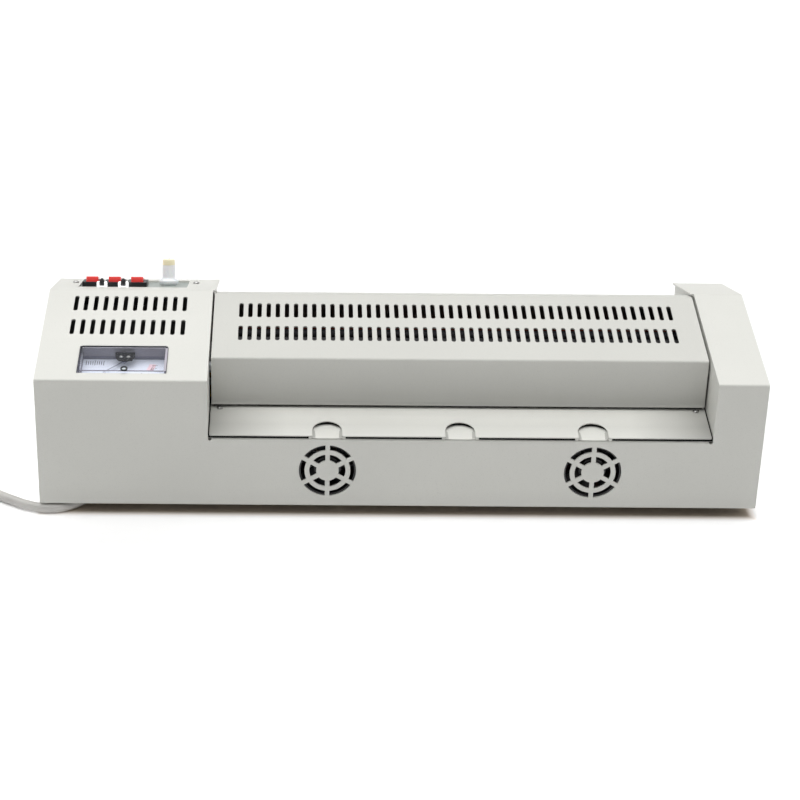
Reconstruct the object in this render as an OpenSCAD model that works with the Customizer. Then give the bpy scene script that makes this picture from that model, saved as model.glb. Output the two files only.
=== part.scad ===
// Table-top pouch laminator with four heated rollers between two housings.
// X runs to the operator's right, Y from the operator to the back, Z up.
// The origin is on the table below the middle of the casing.

/* [Casing] */
// Overall width of the casing
casing_w = 510; // [480:1:540]
// Overall depth of the casing
casing_d = 186; // [180:1:200]
// Height of the casing's underside above the table
foot_h = 8; // [8:0.5:12]
// Width of the left housing, with the meter and the switches
left_w = 120.3; // [118:0.1:130]
// Width of the right housing
right_w = 35.3; // [34:0.1:40]
// Height of the crease at the front of the housings
front_crease_z = 106.2; // [105:0.1:110]
// Height of the ridge of the housings
ridge_z = 124.5; // [123:0.1:128]
// Distance of the ridge behind the front panel
ridge_from_front = 114.4; // [110:0.1:118]
// Height of the crease at the back of the housings
rear_crease_z = 102.3; // [101:0.1:104]
// Thickness of the casing sheet
sheet_t = 1.2; // [1:0.1:1.5]

/* [Cover and trays] */
// Gap between the cover and each housing
cover_gap = 1.4; // [1:0.1:2]
// Height of the cover's lower front edge
cover_low_z = 72.25; // [72:0.05:73]
// Height of the crease at the front of the cover
cover_crease_z = 108.5; // [108:0.1:109]
// Height of the cover's ridge
cover_ridge_z = 122.6; // [122:0.1:123]
// Height of the tray's surface at its outer edge
tray_edge_z = 64.4; // [64:0.1:65]
// Rise of the tray towards the rollers, in degrees
tray_rise = 9.3; // [8.5:0.1:9.5]
// Thickness of the tray sheet
tray_t = 1; // [0.8:0.1:1.2]
// Width of a thumb notch
notch_w = 20.8; // [18:0.1:22]
// Depth of a thumb notch
notch_d = 17; // [14:0.5:18]
// Distance between thumb notches
notch_pitch = 93.5; // [85:0.5:100]

/* [Vents] */
// Slots in each row on the left housing
left_slots = 12; // [8:1:12]
// Distance between slots on the left housing
left_slot_pitch = 7.2; // [6.5:0.1:7.4]
// Slots in each row on the cover
cover_slots = 48; // [30:1:48]
// Distance between slots on the cover
cover_slot_pitch = 6.64; // [6.2:0.02:6.7]
// Outer diameter of a fan grille
grille_d = 40.5; // [36:0.5:41]
// Width of a grille spoke
spoke_w = 3.2; // [2:0.1:4]

/* [Rollers] */
// Diameter of a roller over its rubber
roller_d = 25.2; // [25:0.05:25.3]
// Diameter of a roller shaft
shaft_d = 10; // [8:0.5:10]
// Length of a roller's rubber
sleeve_len = 337; // [320:1:345]
// Height of the nip between the upper and lower rollers
nip_z = 74; // [73.8:0.1:74.5]
// Module of the gears
gear_module = 1.5; // [1.5]
// Teeth of a roller gear
roller_teeth = 17; // [17]
// Teeth of the idler gear
idler_teeth = 20; // [20]
// Teeth of the motor's pinion
pinion_teeth = 12; // [12]

/* [Controls] */
// Length of the bezel of a rocker switch
bezel_len = 21; // [20:0.5:21]
// Width of the bezel of a rocker switch
bezel_w = 15; // [14.5:0.1:16]
// Tilt of a rocker from its middle position, in degrees
rocker_tilt = 10; // [6:0.5:10]
// Diameter of the knob's skirt
knob_skirt_d = 14.8; // [14:0.1:16]
// Height of the knob with its cap
knob_h = 19.5; // [16:0.5:20]
// Width of the meter's window
meter_w = 62; // [58:0.5:62]
// Length of the meter's window along the slope
meter_len = 32.6; // [30:0.1:33]

/* [Mains lead] */
// Diameter of the mains lead
lead_d = 7; // [6:0.5:7]
// Turns of the put-away coil that lie side by side
coil_columns = 2; // [2]
// Turns of the put-away coil that lie on each other
coil_layers = 2; // [2]

/* [Hidden] */
$fn = 48;

// Casing: outer faces and the two slopes of the housings
x_left = -casing_w / 2;
x_right = casing_w / 2;
y_front = -casing_d / 2;
y_back = casing_d / 2;
ridge_y = y_front + ridge_from_front;
bay_x0 = x_left + left_w;
bay_x1 = x_right - right_w;
bay_mid = (bay_x0 + bay_x1) / 2;
front_slope = atan((ridge_z - front_crease_z) / ridge_from_front);
rear_slope = atan((ridge_z - rear_crease_z) / (y_back - ridge_y));
panel_top_z = 61.6;
flange_d = 24;
relief_hole_r = 1.4;
rear_lip_w = 2;
cut = 0.01;
over = 2;

// Cover: it lies between the housings, a little lower than they are
cover_x0 = bay_x0 + cover_gap;
cover_x1 = bay_x1 - cover_gap;
cover_y = 60.3;
cover_ridge_y = 19.7;
cover_slope = atan((cover_ridge_z - cover_crease_z) / (cover_ridge_y + cover_y));
cover_break_y = 33.7;
cover_break_z = cover_ridge_z - (cover_break_y - cover_ridge_y) * tan(rear_slope);
cover_back_slope = 27.5;
lug_y = 51;
lug_z = 97;

// Trays
tray_side_gap = 0.8;
tray_in_y = 46;
tray_screw_in = 7.4;
tray_screw_y = 61.5;
ledge_w = 15;
notch_xs = [for (i = [-1 : 1]) bay_mid + i * notch_pitch];

// Vents
left_slot_x0 = -233.8;
left_slot_rows = [3.2, -27.2];
left_slot_len = 19.4;
left_slot_w = 3.2;
cover_slot_x0 = -113.3;
cover_slot_rows = [-1, -29.5];
cover_slot_len = 18;
cover_slot_w = 3.15;
grille_xs = [-50.5, 137];
grille_z = 36.4;

// Rollers and gears
roller_gap = 0.3;
roller_dz = (roller_d + roller_gap) / 2;
roller_y = gear_module * (roller_teeth + idler_teeth) / 2;
lower_z = nip_z - roller_dz;
upper_z = nip_z + roller_dz;
idler_z = lower_z;
pinion_z = idler_z - gear_module * (idler_teeth + pinion_teeth) / 2;
plate_t = 3;
plate_half = 58;
plate_top_z = 103;
left_plate_x = bay_x0 - sheet_t - plate_t;
right_plate_x = bay_x1 + sheet_t;
opening_half = 56;
opening_z0 = 26;
opening_z1 = 104;
bush_d = 14;
bush_flange_d = 18;
bush_flange_t = 1.5;
fit = 0.05;
gear_w = 8;
gear_x = left_plate_x - 2 - gear_w;
shaft_x0 = gear_x - 1.1;
shaft_x1 = right_plate_x + plate_t + 4.1;
shoe_r = roller_d / 2 + 1;
shoe_t = 3;
boss_r = 18;
boss_w = 8;
boss_len = 326;
rod_d = 5;
rod_len = 346;
pressure_angle = 25;
backlash = 0.12;
motor_d = 50;
motor_len = 20;
bracket_x = gear_x - 7.1;
bracket_t = 2;

// Controls on the rear slope of the left housing
control_y = 60;
control_x0 = -236;
control_x1 = -155;
control_half = 23;
plate_sheet = 1.5;
rocker_xs = [-227, -210.15, -193.3];
lamp_xs = [for (i = [0, 1]) (rocker_xs[i] + rocker_xs[i + 1]) / 2];
lamp_v = -16.8;
knob_x = -170.2;
knob_v = 6;
control_screw_xs = [-240.5, -149.3];
control_screw_v = 5;
pivot_w = 0;
bezel_top = 2.2;
rocker_w = 9.2;

// Meter on the front slope of the left housing
meter_x = -194.75;
meter_y = -67.85;
meter_pivot_v = 10;
needle_len = 20;
needle_rest = -45;

// Mains lead: where it leaves the back panel and where its coil lies
relief_x = -152;
relief_z = 26;
relief_len = 23;
coil_at = [-349, -54];
coil_mid_r = 39.75;
coil_pitch = 7.5;
coil_z0 = 0.8;
plug_at = [-343, 43, 11];
plug_body_len = 34;
plug_relief_len = 22;

// Route of the lead from its strain relief to the coil
lead_route = [
  [-152, 116, 26], [-152, 121, 26], [-156.6, 134, 24], [-169, 145.7, 20], [-186, 150, 15],
  [-203, 145.7, 10], [-215.4, 134, 6], [-220, 118, 4], [-220, 98, 3.5], [-220, 80, 3.5],
  [-220, 60, 3.5], [-220, 40, 3.5], [-220, 20, 3.5], [-220, 0, 3.5], [-220, -20, 3.5],
  [-220, -40, 3.5], [-220, -61.5, 3.5], [-224, -76.5, 3.5], [-235, -87.5, 3.5], [-250, -91.5, 3.5],
  [-265.9, -86.9, 3.5], [-274.5, -81.6, 3.5], [-283, -76, 3.5], [-290.8, -69.5, 3.5],
  [-297, -60.5, 3.5], [-301.5, -50, 3.8], [-306.5, -39.5, 4.1], [-315.5, -26, 4.5]
];
// Route from the coil to the plug
plug_route = [
  [-315.5, -26, 12], [-325, -14.5, 10], [-334, -3.5, 7], [-340, 9, 6], [-343, 22, 8], [-343, 32, 10.4],
  [-343, 38, 11], [-343, 43, 11]
];

// ---- Shapes that repeat ----

// Height of the housings' outer surface at a distance y
function housing_z(y) = y < ridge_y
  ? front_crease_z + (y - y_front) * tan(front_slope)
  : ridge_z - (y - ridge_y) * tan(rear_slope);

// Height of the cover's outer surface at a distance y
function cover_z(y) = y < cover_ridge_y
  ? cover_crease_z + (y + cover_y) * tan(cover_slope)
  : y < cover_break_y
    ? cover_ridge_z - (y - cover_ridge_y) * tan(rear_slope)
    : cover_break_z - (y - cover_break_y) * tan(cover_back_slope);

// Height of the tray's top surface at a distance y from the middle
function tray_z(y) = tray_edge_z + (y_back - abs(y)) * tan(tray_rise);

// Point on the ridge line of a sheet that lies t inside two slopes
function inner_ridge(y, z, slope_a, slope_b, t) =
  let (drop_a = t / cos(slope_a), drop_b = t / cos(slope_b))
  let (shift = (drop_a - drop_b) / (tan(slope_a) + tan(slope_b)))
  [y + shift, z - drop_a + shift * tan(slope_a)];

// Outline of a housing seen from the side, t inside its faces and open below at low_z
function housing_outline(t, low_z = foot_h) = [
  [y_front + t, low_z],
  [y_front + t, housing_z(y_front + t) - t / cos(front_slope)],
  inner_ridge(ridge_y, ridge_z, front_slope, rear_slope, t),
  [y_back - t, housing_z(y_back - t) - t / cos(rear_slope)],
  [y_back - t, low_z]
];

// Outline of the cover seen from the side, t inside its faces and open below at low_z
function cover_outline(t, low_z = cover_low_z) = [
  [-cover_y + t, low_z],
  [-cover_y + t, cover_z(-cover_y + t) - t / cos(cover_slope)],
  inner_ridge(cover_ridge_y, cover_ridge_z, cover_slope, rear_slope, t),
  inner_ridge(cover_break_y, cover_break_z, -rear_slope, cover_back_slope, t),
  [cover_y - t, cover_z(cover_y - t) - t / cos(cover_back_slope)],
  [cover_y - t, low_z]
];

// Draws a side outline from x0 to x1
module along_x(x0, x1) {
  translate([x0, 0, 0]) rotate([90, 0, 90]) linear_extrude(x1 - x0) children();
}

// Puts children on the front slope of the housings, z outwards
module on_front_slope(y) {
  translate([0, y, housing_z(y)]) rotate([front_slope, 0, 0]) children();
}

// Puts children on the rear slope of the housings, z outwards
module on_rear_slope(y) {
  translate([0, y, housing_z(y)]) rotate([-rear_slope, 0, 0]) children();
}

// Puts children on the slope of the cover, z outwards
module on_cover(y) {
  translate([0, y, cover_z(y)]) rotate([cover_slope, 0, 0]) children();
}

// Puts children on a tray's surface; side is -1 at the front and 1 at the back
module on_tray(x, side, y) {
  translate([x, side * y, tray_z(y)]) rotate([-side * tray_rise, 0, 0]) children();
}

// Block of a size, centred in x and y, from z0 to z1
module block(size_x, size_y, z0, z1) {
  translate([-size_x / 2, -size_y / 2, z0]) cube([size_x, size_y, z1 - z0]);
}

// Disc of a radius from z0 to z1
module disc(r, z0, z1) {
  translate([0, 0, z0]) cylinder(r = r, h = z1 - z0);
}

// Row of slots with round ends along x, each slot lying along y
module slot_row(count, pitch, length, width) {
  for (i = [0 : count - 1]) {
    translate([i * pitch, 0]) {
      square([width, length - width], center = true);
      for (end = [-1, 1]) translate([0, end * (length - width) / 2]) circle(d = width, $fn = 16);
    }
  }
}

// Cylinder along x
module bar(x0, x1, d, y, z) {
  translate([x0, y, z]) rotate([0, 90, 0]) cylinder(d = d, h = x1 - x0);
}

// ---- Casing ----

module housing_shell(x0, x1) {
  along_x(x0, x1) difference() {
    polygon(housing_outline(0));
    polygon(housing_outline(sheet_t, foot_h - over));
  }
}

module housing_end(x0, low_z = foot_h) {
  along_x(x0, x0 + sheet_t) polygon(housing_outline(0, low_z));
}

module inner_wall(x0) {
  difference() {
    housing_end(x0, foot_h + sheet_t);
    translate([x0 - over, -opening_half, opening_z0])
      cube([sheet_t + 2 * over, 2 * opening_half, opening_z1 - opening_z0]);
  }
}

module low_panel(side) {
  y0 = side < 0 ? y_front : y_back - sheet_t;
  translate([bay_x0, y0, foot_h]) cube([bay_x1 - bay_x0, sheet_t, panel_top_z - foot_h]);
  translate([bay_x0, side < 0 ? y_front : y_back - flange_d, panel_top_z - sheet_t])
    cube([bay_x1 - bay_x0, flange_d, sheet_t]);
}

module tray_ledge(x0, side) {
  drop = tray_t / cos(tray_rise);
  along_x(x0, x0 + ledge_w) polygon([
    for (p = [[58, 0], [80, 0], [80, sheet_t], [58, sheet_t]]) [side * p[0], tray_z(p[0]) - drop - p[1]]
  ]);
}

// Edge of a housing's rear slope that hides the gap beside the cover
module rear_lip(x0) {
  drop = sheet_t / cos(rear_slope);
  along_x(x0, x0 + rear_lip_w) polygon([
    [ridge_y, ridge_z], [y_back, rear_crease_z], [y_back, rear_crease_z - drop], [ridge_y, ridge_z - drop]
  ]);
}

// Round relief at the end of the bend below a tray
module bend_relief(x, side) {
  translate([x, side * y_back, panel_top_z - relief_hole_r / 2]) rotate([90, 0, 0])
    cylinder(r = relief_hole_r, h = 2 * over, center = true);
}

module grille_openings(x) {
  translate([x, y_front - over, grille_z]) rotate([-90, 0, 0]) linear_extrude(sheet_t + 2 * over)
    difference() {
      union() {
        difference() {
          circle(d = grille_d, $fn = 64);
          circle(r = 16.2, $fn = 64);
        }
        difference() {
          circle(r = 12.8, $fn = 48);
          circle(r = 8, $fn = 48);
        }
      }
      for (a = [30, 90, 150]) rotate(a) square([2 * grille_d, spoke_w], center = true);
    }
}

module left_vents() {
  for (y = left_slot_rows) {
    on_front_slope(y) translate([left_slot_x0, 0, -sheet_t - over]) linear_extrude(sheet_t + 2 * over)
      slot_row(left_slots, left_slot_pitch, left_slot_len, left_slot_w);
  }
}

module casing() {
  color("gainsboro") difference() {
    union() {
      housing_shell(x_left, bay_x0);
      housing_shell(bay_x1, x_right);
      housing_end(x_left);
      housing_end(x_right - sheet_t);
      inner_wall(bay_x0 - sheet_t);
      inner_wall(bay_x1);
      low_panel(-1);
      low_panel(1);
      for (side = [-1, 1]) tray_ledge(bay_x0, side);
      for (side = [-1, 1]) tray_ledge(bay_x1 - ledge_w, side);
      rear_lip(bay_x0 - cut);
      rear_lip(bay_x1 + cut - rear_lip_w);
    }
    for (x = grille_xs) grille_openings(x);
    for (x = [bay_x0 + relief_hole_r, bay_x1 - relief_hole_r]) {
      for (side = [-1, 1]) bend_relief(x, side);
    }
    left_vents();
    on_rear_slope(control_y) translate([(control_x0 + control_x1) / 2, 0, 0])
      block(control_x1 - control_x0, 2 * control_half, -sheet_t - over, over);
    for (x = control_screw_xs) on_rear_slope(control_y)
      translate([x, control_screw_v, 0]) disc(1.7, -sheet_t - over, over);
    on_front_slope(meter_y) translate([meter_x, 0, 0])
      block(meter_w + 0.5, meter_len + 0.4, -sheet_t - over, over);
    for (x = [bay_x0 + tray_screw_in, bay_x1 - tray_screw_in]) {
      for (side = [-1, 1]) on_tray(x, side, tray_screw_y) disc(2, -6, over);
    }
    translate([relief_x, y_back - sheet_t - over, relief_z]) rotate([-90, 0, 0]) disc(6, 0, 2 * over + sheet_t);
  }
}

foot_at = [for (x = [-243, 243]) for (y = [-60, 60]) [x, y]];

module base_plate() {
  color("silver") difference() {
    translate([x_left + sheet_t, y_front + sheet_t, foot_h])
      cube([casing_w - 2 * sheet_t, casing_d - 2 * sheet_t, sheet_t]);
    for (p = foot_at) translate([p[0], p[1], 0]) disc(2.2, foot_h - over, foot_h + sheet_t + over);
    for (i = [0 : 19]) translate([-100 + i * 14, 0, foot_h - over])
      linear_extrude(sheet_t + 2 * over) slot_row(1, 1, 40, 4);
  }
}

module top_cover() {
  color("whitesmoke") difference() {
    union() {
      along_x(cover_x0, cover_x1) difference() {
        polygon(cover_outline(0));
        polygon(cover_outline(sheet_t, cover_low_z - over));
      }
      for (x0 = [cover_x0, cover_x1 - sheet_t]) cover_skirt(x0);
    }
    for (y = cover_slot_rows) {
      on_cover(y) translate([cover_slot_x0, 0, -sheet_t - over]) linear_extrude(sheet_t + 2 * over)
        slot_row(cover_slots, cover_slot_pitch, cover_slot_len, cover_slot_w);
    }
  }
}

module cover_skirt(x0) {
  inner = cover_outline(sheet_t / 2);
  along_x(x0, x0 + sheet_t) polygon([
    [-cover_y + sheet_t / 2, 90], inner[1], inner[2], inner[3], inner[4], [cover_y - sheet_t / 2, 90],
    [46, 90], [44, 100], [20, 106], [-roller_y, 106], [-40, 102], [-46, 98], [-46, 90]
  ]);
}

module tray_sheet(side) {
  drop = tray_t / cos(tray_rise);
  difference() {
    along_x(bay_x0 + tray_side_gap, bay_x1 - tray_side_gap) polygon([
      for (p = [[tray_in_y, 0], [y_back, 0], [y_back, drop], [tray_in_y, drop]])
        [side * p[0], tray_z(p[0]) - p[1]]
    ]);
    for (x = [bay_x0 + tray_screw_in, bay_x1 - tray_screw_in]) on_tray(x, side, tray_screw_y) disc(2, -6, over);
  }
}

module notch(x) {
  translate([x, y_front, tray_edge_z - 5]) linear_extrude(12) {
    translate([0, notch_d - notch_w / 2]) circle(d = notch_w, $fn = 64);
    translate([-notch_w / 2, -over]) square([notch_w, notch_d - notch_w / 2 + over]);
  }
}

module infeed_tray() {
  color("gainsboro") difference() {
    tray_sheet(-1);
    for (x = notch_xs) notch(x);
  }
}

module exit_tray() {
  color("gainsboro") tray_sheet(1);
}

module rubber_feet() {
  color("dimgray") for (p = foot_at) translate([p[0], p[1], 0]) difference() {
    disc(9, 0, foot_h);
    disc(5, -over, 4);
    disc(2.2, -over, foot_h + over);
  }
}

module pan_screw(head_r, head_h, shank_r, shank_len) {
  difference() {
    disc(head_r, 0, head_h);
    for (a = [0, 90]) rotate(a) block(head_r * 1.2, head_r * 0.28, head_h * 0.4, head_h + over);
  }
  disc(shank_r, -shank_len, cut);
}

module case_screws() {
  color("silver") {
    for (x = [bay_x0 + tray_screw_in, bay_x1 - tray_screw_in]) {
      for (side = [-1, 1]) on_tray(x, side, tray_screw_y) pan_screw(2.6, 1.5, 1.9, 7);
    }
    for (x = control_screw_xs) on_rear_slope(control_y)
      translate([x, control_screw_v, 0]) pan_screw(2.7, 1.6, 1.5, 5);
    for (p = foot_at) translate([p[0], p[1], 4]) {
      rotate([180, 0, 0]) pan_screw(4, 2.5, 2, foot_h + sheet_t - 1);
      disc(4, foot_h + sheet_t - 4, foot_h + sheet_t - 1);
    }
  }
}

// ---- Controls ----

module control_plate() {
  color("darkgray") on_rear_slope(control_y) difference() {
    translate([-194.75, 0, 0]) block(102.5, 54, -sheet_t - plate_sheet, -sheet_t);
    for (x = rocker_xs) translate([x, 0, 0]) block(12.8, 18.8, -over * 2, over);
    for (x = lamp_xs) translate([x, lamp_v, 0]) disc(3, -over * 2, over);
    translate([knob_x, knob_v, 0]) disc(3.5, -over * 2, over);
    for (x = control_screw_xs) translate([x, control_screw_v, 0]) disc(1.5, -over * 2, over);
  }
}

module rocker_housings() {
  color("black") on_rear_slope(control_y) for (x = rocker_xs) translate([x, 0, 0]) difference() {
    union() {
      block(bezel_w, bezel_len, -sheet_t, bezel_top);
      block(12.8, 18.8, -15, -sheet_t);
      for (side = [-1, 1]) translate([side * 3, 0, 0]) block(0.8, 4.8, -21, -15);
    }
    block(rocker_w + 0.4, 16, -7, bezel_top + over);
    translate([-6.1, 0, pivot_w]) rotate([0, 90, 0]) cylinder(r = 1 + fit, h = 12.2);
  }
}

module rocker(x) {
  top = 5.11;
  color("red") on_rear_slope(control_y) translate([x, 0, pivot_w]) rotate([-rocker_tilt, 0, 0]) {
    along_x(-rocker_w / 2, rocker_w / 2) polygon([
      [-7, -2.5], [-7, top], [0, top - 7 * tan(rocker_tilt)], [7, top], [7, -2.5]
    ]);
    bar(-6, 6, 2, 0, 0);
  }
}

module rocker_left() {
  rocker(rocker_xs[0]);
}

module rocker_middle() {
  rocker(rocker_xs[1]);
}

module rocker_right() {
  rocker(rocker_xs[2]);
}

module lamp_lenses() {
  color("white") on_rear_slope(control_y) for (x = lamp_xs) translate([x, lamp_v, 0]) difference() {
    union() {
      disc(4, -sheet_t, 1);
      rotate_extrude() intersection() {
        translate([0, 1]) circle(r = 4);
        translate([0, 1]) square([4, 2.6]);
      }
      disc(3, -8, -sheet_t);
    }
    disc(1.8, -8 - over, 4 + over);
  }
}

module lamp_cores() {
  color("black") on_rear_slope(control_y) for (x = lamp_xs) translate([x, lamp_v, 0]) {
    disc(1.8, -8, 5);
    translate([0, 0, 5]) cylinder(r1 = 1.8, r2 = 1, h = 1);
  }
}

module on_knob_axis() {
  on_rear_slope(control_y) translate([knob_x, knob_v, 0]) children();
}

module potentiometer() {
  color("slategray") on_knob_axis() difference() {
    union() {
      disc(8.5, -12.7, -sheet_t - plate_sheet);
      disc(3.5, -12, 1);
      cylinder(r = 5, h = 0.6, $fn = 6);
      translate([0, 0, -sheet_t]) cylinder(r = 5, h = sheet_t, $fn = 6);
      for (x = [-5, 0, 5]) translate([x, -10, 0]) block(1.2, 6, -11, -10.2);
    }
    disc(3 + fit, -10.2, over);
  }
}

module knob_shaft() {
  color("silver") on_knob_axis() disc(3, -10, 12);
}

module knob() {
  skirt_w = 0.7;
  skirt_top = 2.8;
  cap_w = knob_h - sheet_t - 4.3;
  color("lightgray") on_knob_axis() difference() {
    union() {
      disc(knob_skirt_d / 2, skirt_w, skirt_top);
      disc(4.9, skirt_top, cap_w);
    }
    disc(6.2, skirt_w - over, skirt_top - 0.8);
    disc(3, 1, 12);
    for (a = [0 : 20 : 340]) rotate(a) translate([5.1, 0, 0]) cylinder(r = 0.45, h = cap_w + 1, $fn = 12);
  }
}

module knob_cap() {
  cap_w = knob_h - sheet_t - 4.3;
  color("wheat") on_knob_axis() {
    disc(4.7, cap_w, cap_w + 3.5);
    translate([0, 0, cap_w + 3.5]) cylinder(r1 = 4.7, r2 = 4, h = 0.8);
  }
}

// ---- Meter ----

module on_meter() {
  on_front_slope(meter_y) translate([meter_x, 0, 0]) children();
}

module meter_case() {
  color("dimgray") on_meter() difference() {
    block(meter_w + 4, meter_len + 4, -26, -sheet_t);
    block(meter_w, meter_len, -7, 0);
    block(meter_w - 3.2, meter_len - 3.2, -24.5, -7 + cut);
  }
}

module meter_dial() {
  color("white") on_meter() block(meter_w - 3.2, meter_len - 3.2, -10.8, -10);
}

module meter_window() {
  color("lightcyan", 0.4) on_meter() {
    difference() {
      block(meter_w, meter_len, -7, 1.5);
      block(meter_w - 2.8, meter_len - 2.8, -7 - over, 0.3);
    }
    translate([0, -13.6, 0]) disc(2.35, 1.5, 2.3);
  }
}

module meter_boss() {
  color("black") on_meter() {
    translate([0, 11.4, -6]) linear_extrude(2.5) {
      intersection() {
        circle(r = 7.3, $fn = 64);
        translate([-8, -8]) square([16, 8]);
      }
      translate([-7.3, 0]) square([14.6, 3.3]);
    }
    for (x = [-5, 5]) translate([x, 12.6, 0]) disc(1.2, -10, -6);
    translate([0, meter_pivot_v, 0]) disc(0.8, -10, -6);
    for (x = [-2.5, 2.5]) translate([x, meter_pivot_v, 0]) disc(1.3, -3.5, -2.7);
  }
}

module meter_needle() {
  color("red") on_meter() translate([0, meter_pivot_v, 0]) rotate(needle_rest) {
    difference() {
      union() {
        disc(2.2, -9, -7.2);
        translate([-0.45, -needle_len, -8.4]) cube([0.9, needle_len, 0.5]);
      }
      disc(0.8 + fit, -10, -6);
    }
  }
}

// ---- Frame, rollers and drive ----

module frame_plate(x0, foot_x0, foot_x1, lug_x0, lug_x1) {
  difference() {
    union() {
      translate([x0, -plate_half, foot_h + sheet_t])
        cube([plate_t, 2 * plate_half, plate_top_z - foot_h - sheet_t]);
      translate([foot_x0, -plate_half, foot_h + sheet_t]) cube([foot_x1 - foot_x0, 2 * plate_half, plate_t]);
      for (side = [-1, 1]) bar(lug_x0, lug_x1, 8, side * lug_y, lug_z);
    }
    for (side = [-1, 1]) {
      for (z = [lower_z, upper_z]) bar(x0 - over, x0 + plate_t + over, bush_d, side * roller_y, z);
    }
  }
}

module left_frame_plate() {
  color("silver")
    frame_plate(left_plate_x, left_plate_x - 12, left_plate_x + cut, left_plate_x + plate_t - cut, cover_x0);
}

module right_frame_plate() {
  x1 = right_plate_x + plate_t;
  color("silver") frame_plate(right_plate_x, x1 - cut, x1 + 12, cover_x1, right_plate_x + cut);
}

module tie_bars() {
  color("silver") for (p = [[-50, 38], [50, 38], [0, 98]])
    bar(left_plate_x + plate_t, right_plate_x, 10, p[0], p[1]);
}

module bush(x_plate, inward, y, z) {
  flange_x0 = inward > 0 ? x_plate + plate_t : x_plate - bush_flange_t;
  difference() {
    union() {
      bar(x_plate - (inward > 0 ? 1 : 0), x_plate + plate_t + (inward > 0 ? 0 : 1), bush_d, y, z);
      bar(flange_x0, flange_x0 + bush_flange_t, bush_flange_d, y, z);
    }
    bar(x_plate - 5, x_plate + plate_t + 5, shaft_d + 2 * fit, y, z);
  }
}

module roller_bushes() {
  color("goldenrod") for (side = [-1, 1]) for (z = [lower_z, upper_z]) {
    bush(left_plate_x, 1, side * roller_y, z);
    bush(right_plate_x, -1, side * roller_y, z);
  }
}

module sleeve(y, z) {
  color("firebrick") difference() {
    bar(bay_mid - sleeve_len / 2, bay_mid + sleeve_len / 2, roller_d, y, z);
    bar(bay_mid - sleeve_len, bay_mid + sleeve_len, shaft_d, y, z);
  }
}

module roller_shaft(y, z) {
  clip_x = right_plate_x + plate_t + 1.6;
  color("silver") {
    bar(shaft_x0, shaft_x1, shaft_d, y, z);
    bar(clip_x, clip_x + 1, shaft_d + 5, y, z);
  }
}

// Involute of an angle, in degrees
function involute(a) = tan(a) * 180 / PI - a;

// Half the angle that a tooth takes at radius r
function tooth_half(r, teeth) =
  let (pitch_r = gear_module * teeth / 2, base_r = pitch_r * cos(pressure_angle))
  90 / teeth - backlash * 180 / (PI * pitch_r)
    + involute(pressure_angle) - (r > base_r ? involute(acos(base_r / r)) : 0);

function polar(r, a) = [r * cos(a), r * sin(a)];

// Outline of a gear with the middle of a tooth at the angle phase
function gear_outline(teeth, phase) =
  let (pitch_r = gear_module * teeth / 2)
  let (root_r = pitch_r - 1.15 * gear_module, tip_r = pitch_r + 0.9 * gear_module)
  let (low_r = max(root_r + 0.2, pitch_r * cos(pressure_angle)))
  let (flank = [low_r, (2 * low_r + tip_r) / 3, (low_r + 2 * tip_r) / 3, tip_r])
  [
    for (k = [0 : teeth - 1])
      let (mid = phase + k * 360 / teeth)
      for (i = [0 : 9])
        let (r = i == 0 || i == 9 ? root_r : i < 5 ? flank[i - 1] : flank[8 - i])
        polar(r, mid + (i < 5 ? -1 : 1) * tooth_half(r, teeth))
  ];

// Phase that puts gear b in mesh with gear a, seen from a in the direction line
function mesh_phase(phase_a, teeth_a, teeth_b, line) =
  line + 180 + (line - phase_a) * teeth_a / teeth_b + 180 / teeth_b;

lower_front_phase = 0;
idler_phase = mesh_phase(lower_front_phase, roller_teeth, idler_teeth, 0);
lower_rear_phase = mesh_phase(idler_phase, idler_teeth, roller_teeth, 0);
upper_front_phase = mesh_phase(lower_front_phase, roller_teeth, roller_teeth, 90);
upper_rear_phase = mesh_phase(lower_rear_phase, roller_teeth, roller_teeth, 90);
pinion_phase = mesh_phase(idler_phase, idler_teeth, pinion_teeth, -90);

module gear(teeth, phase, bore_d, y, z) {
  translate([0, y, z]) difference() {
    union() {
      along_x(gear_x, gear_x + gear_w) polygon(gear_outline(teeth, phase));
      bar(gear_x + gear_w - cut, gear_x + gear_w + 1, bore_d + 5, 0, 0);
    }
    bar(gear_x - over, gear_x + gear_w + over, bore_d, 0, 0);
  }
}

module roller_gear(phase, y, z) {
  color("ivory") gear(roller_teeth, phase, shaft_d, y, z);
}

module lower_front_sleeve() {
  sleeve(-roller_y, lower_z);
}

module upper_front_sleeve() {
  sleeve(-roller_y, upper_z);
}

module lower_rear_sleeve() {
  sleeve(roller_y, lower_z);
}

module upper_rear_sleeve() {
  sleeve(roller_y, upper_z);
}

module lower_front_shaft() {
  roller_shaft(-roller_y, lower_z);
}

module upper_front_shaft() {
  roller_shaft(-roller_y, upper_z);
}

module lower_rear_shaft() {
  roller_shaft(roller_y, lower_z);
}

module upper_rear_shaft() {
  roller_shaft(roller_y, upper_z);
}

module lower_front_gear() {
  roller_gear(lower_front_phase, -roller_y, lower_z);
}

module upper_front_gear() {
  roller_gear(upper_front_phase, -roller_y, upper_z);
}

module lower_rear_gear() {
  roller_gear(lower_rear_phase, roller_y, lower_z);
}

module upper_rear_gear() {
  roller_gear(upper_rear_phase, roller_y, upper_z);
}

module idler_gear() {
  color("ivory") gear(idler_teeth, idler_phase, 6 + 2 * fit, 0, idler_z);
}

module idler_pin() {
  color("silver") {
    bar(gear_x - 2.3, left_plate_x, 6, 0, idler_z);
    bar(gear_x - 2.3, gear_x - 0.5, 10, 0, idler_z);
  }
}

module drive_pinion() {
  color("silver") {
    gear(pinion_teeth, pinion_phase, 6, 0, pinion_z);
    bar(bracket_x - 8, gear_x + gear_w, 6, 0, pinion_z);
  }
}

standoff_at = [for (y = [-34, 34]) for (z = [18, 38]) [y, z]];

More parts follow.
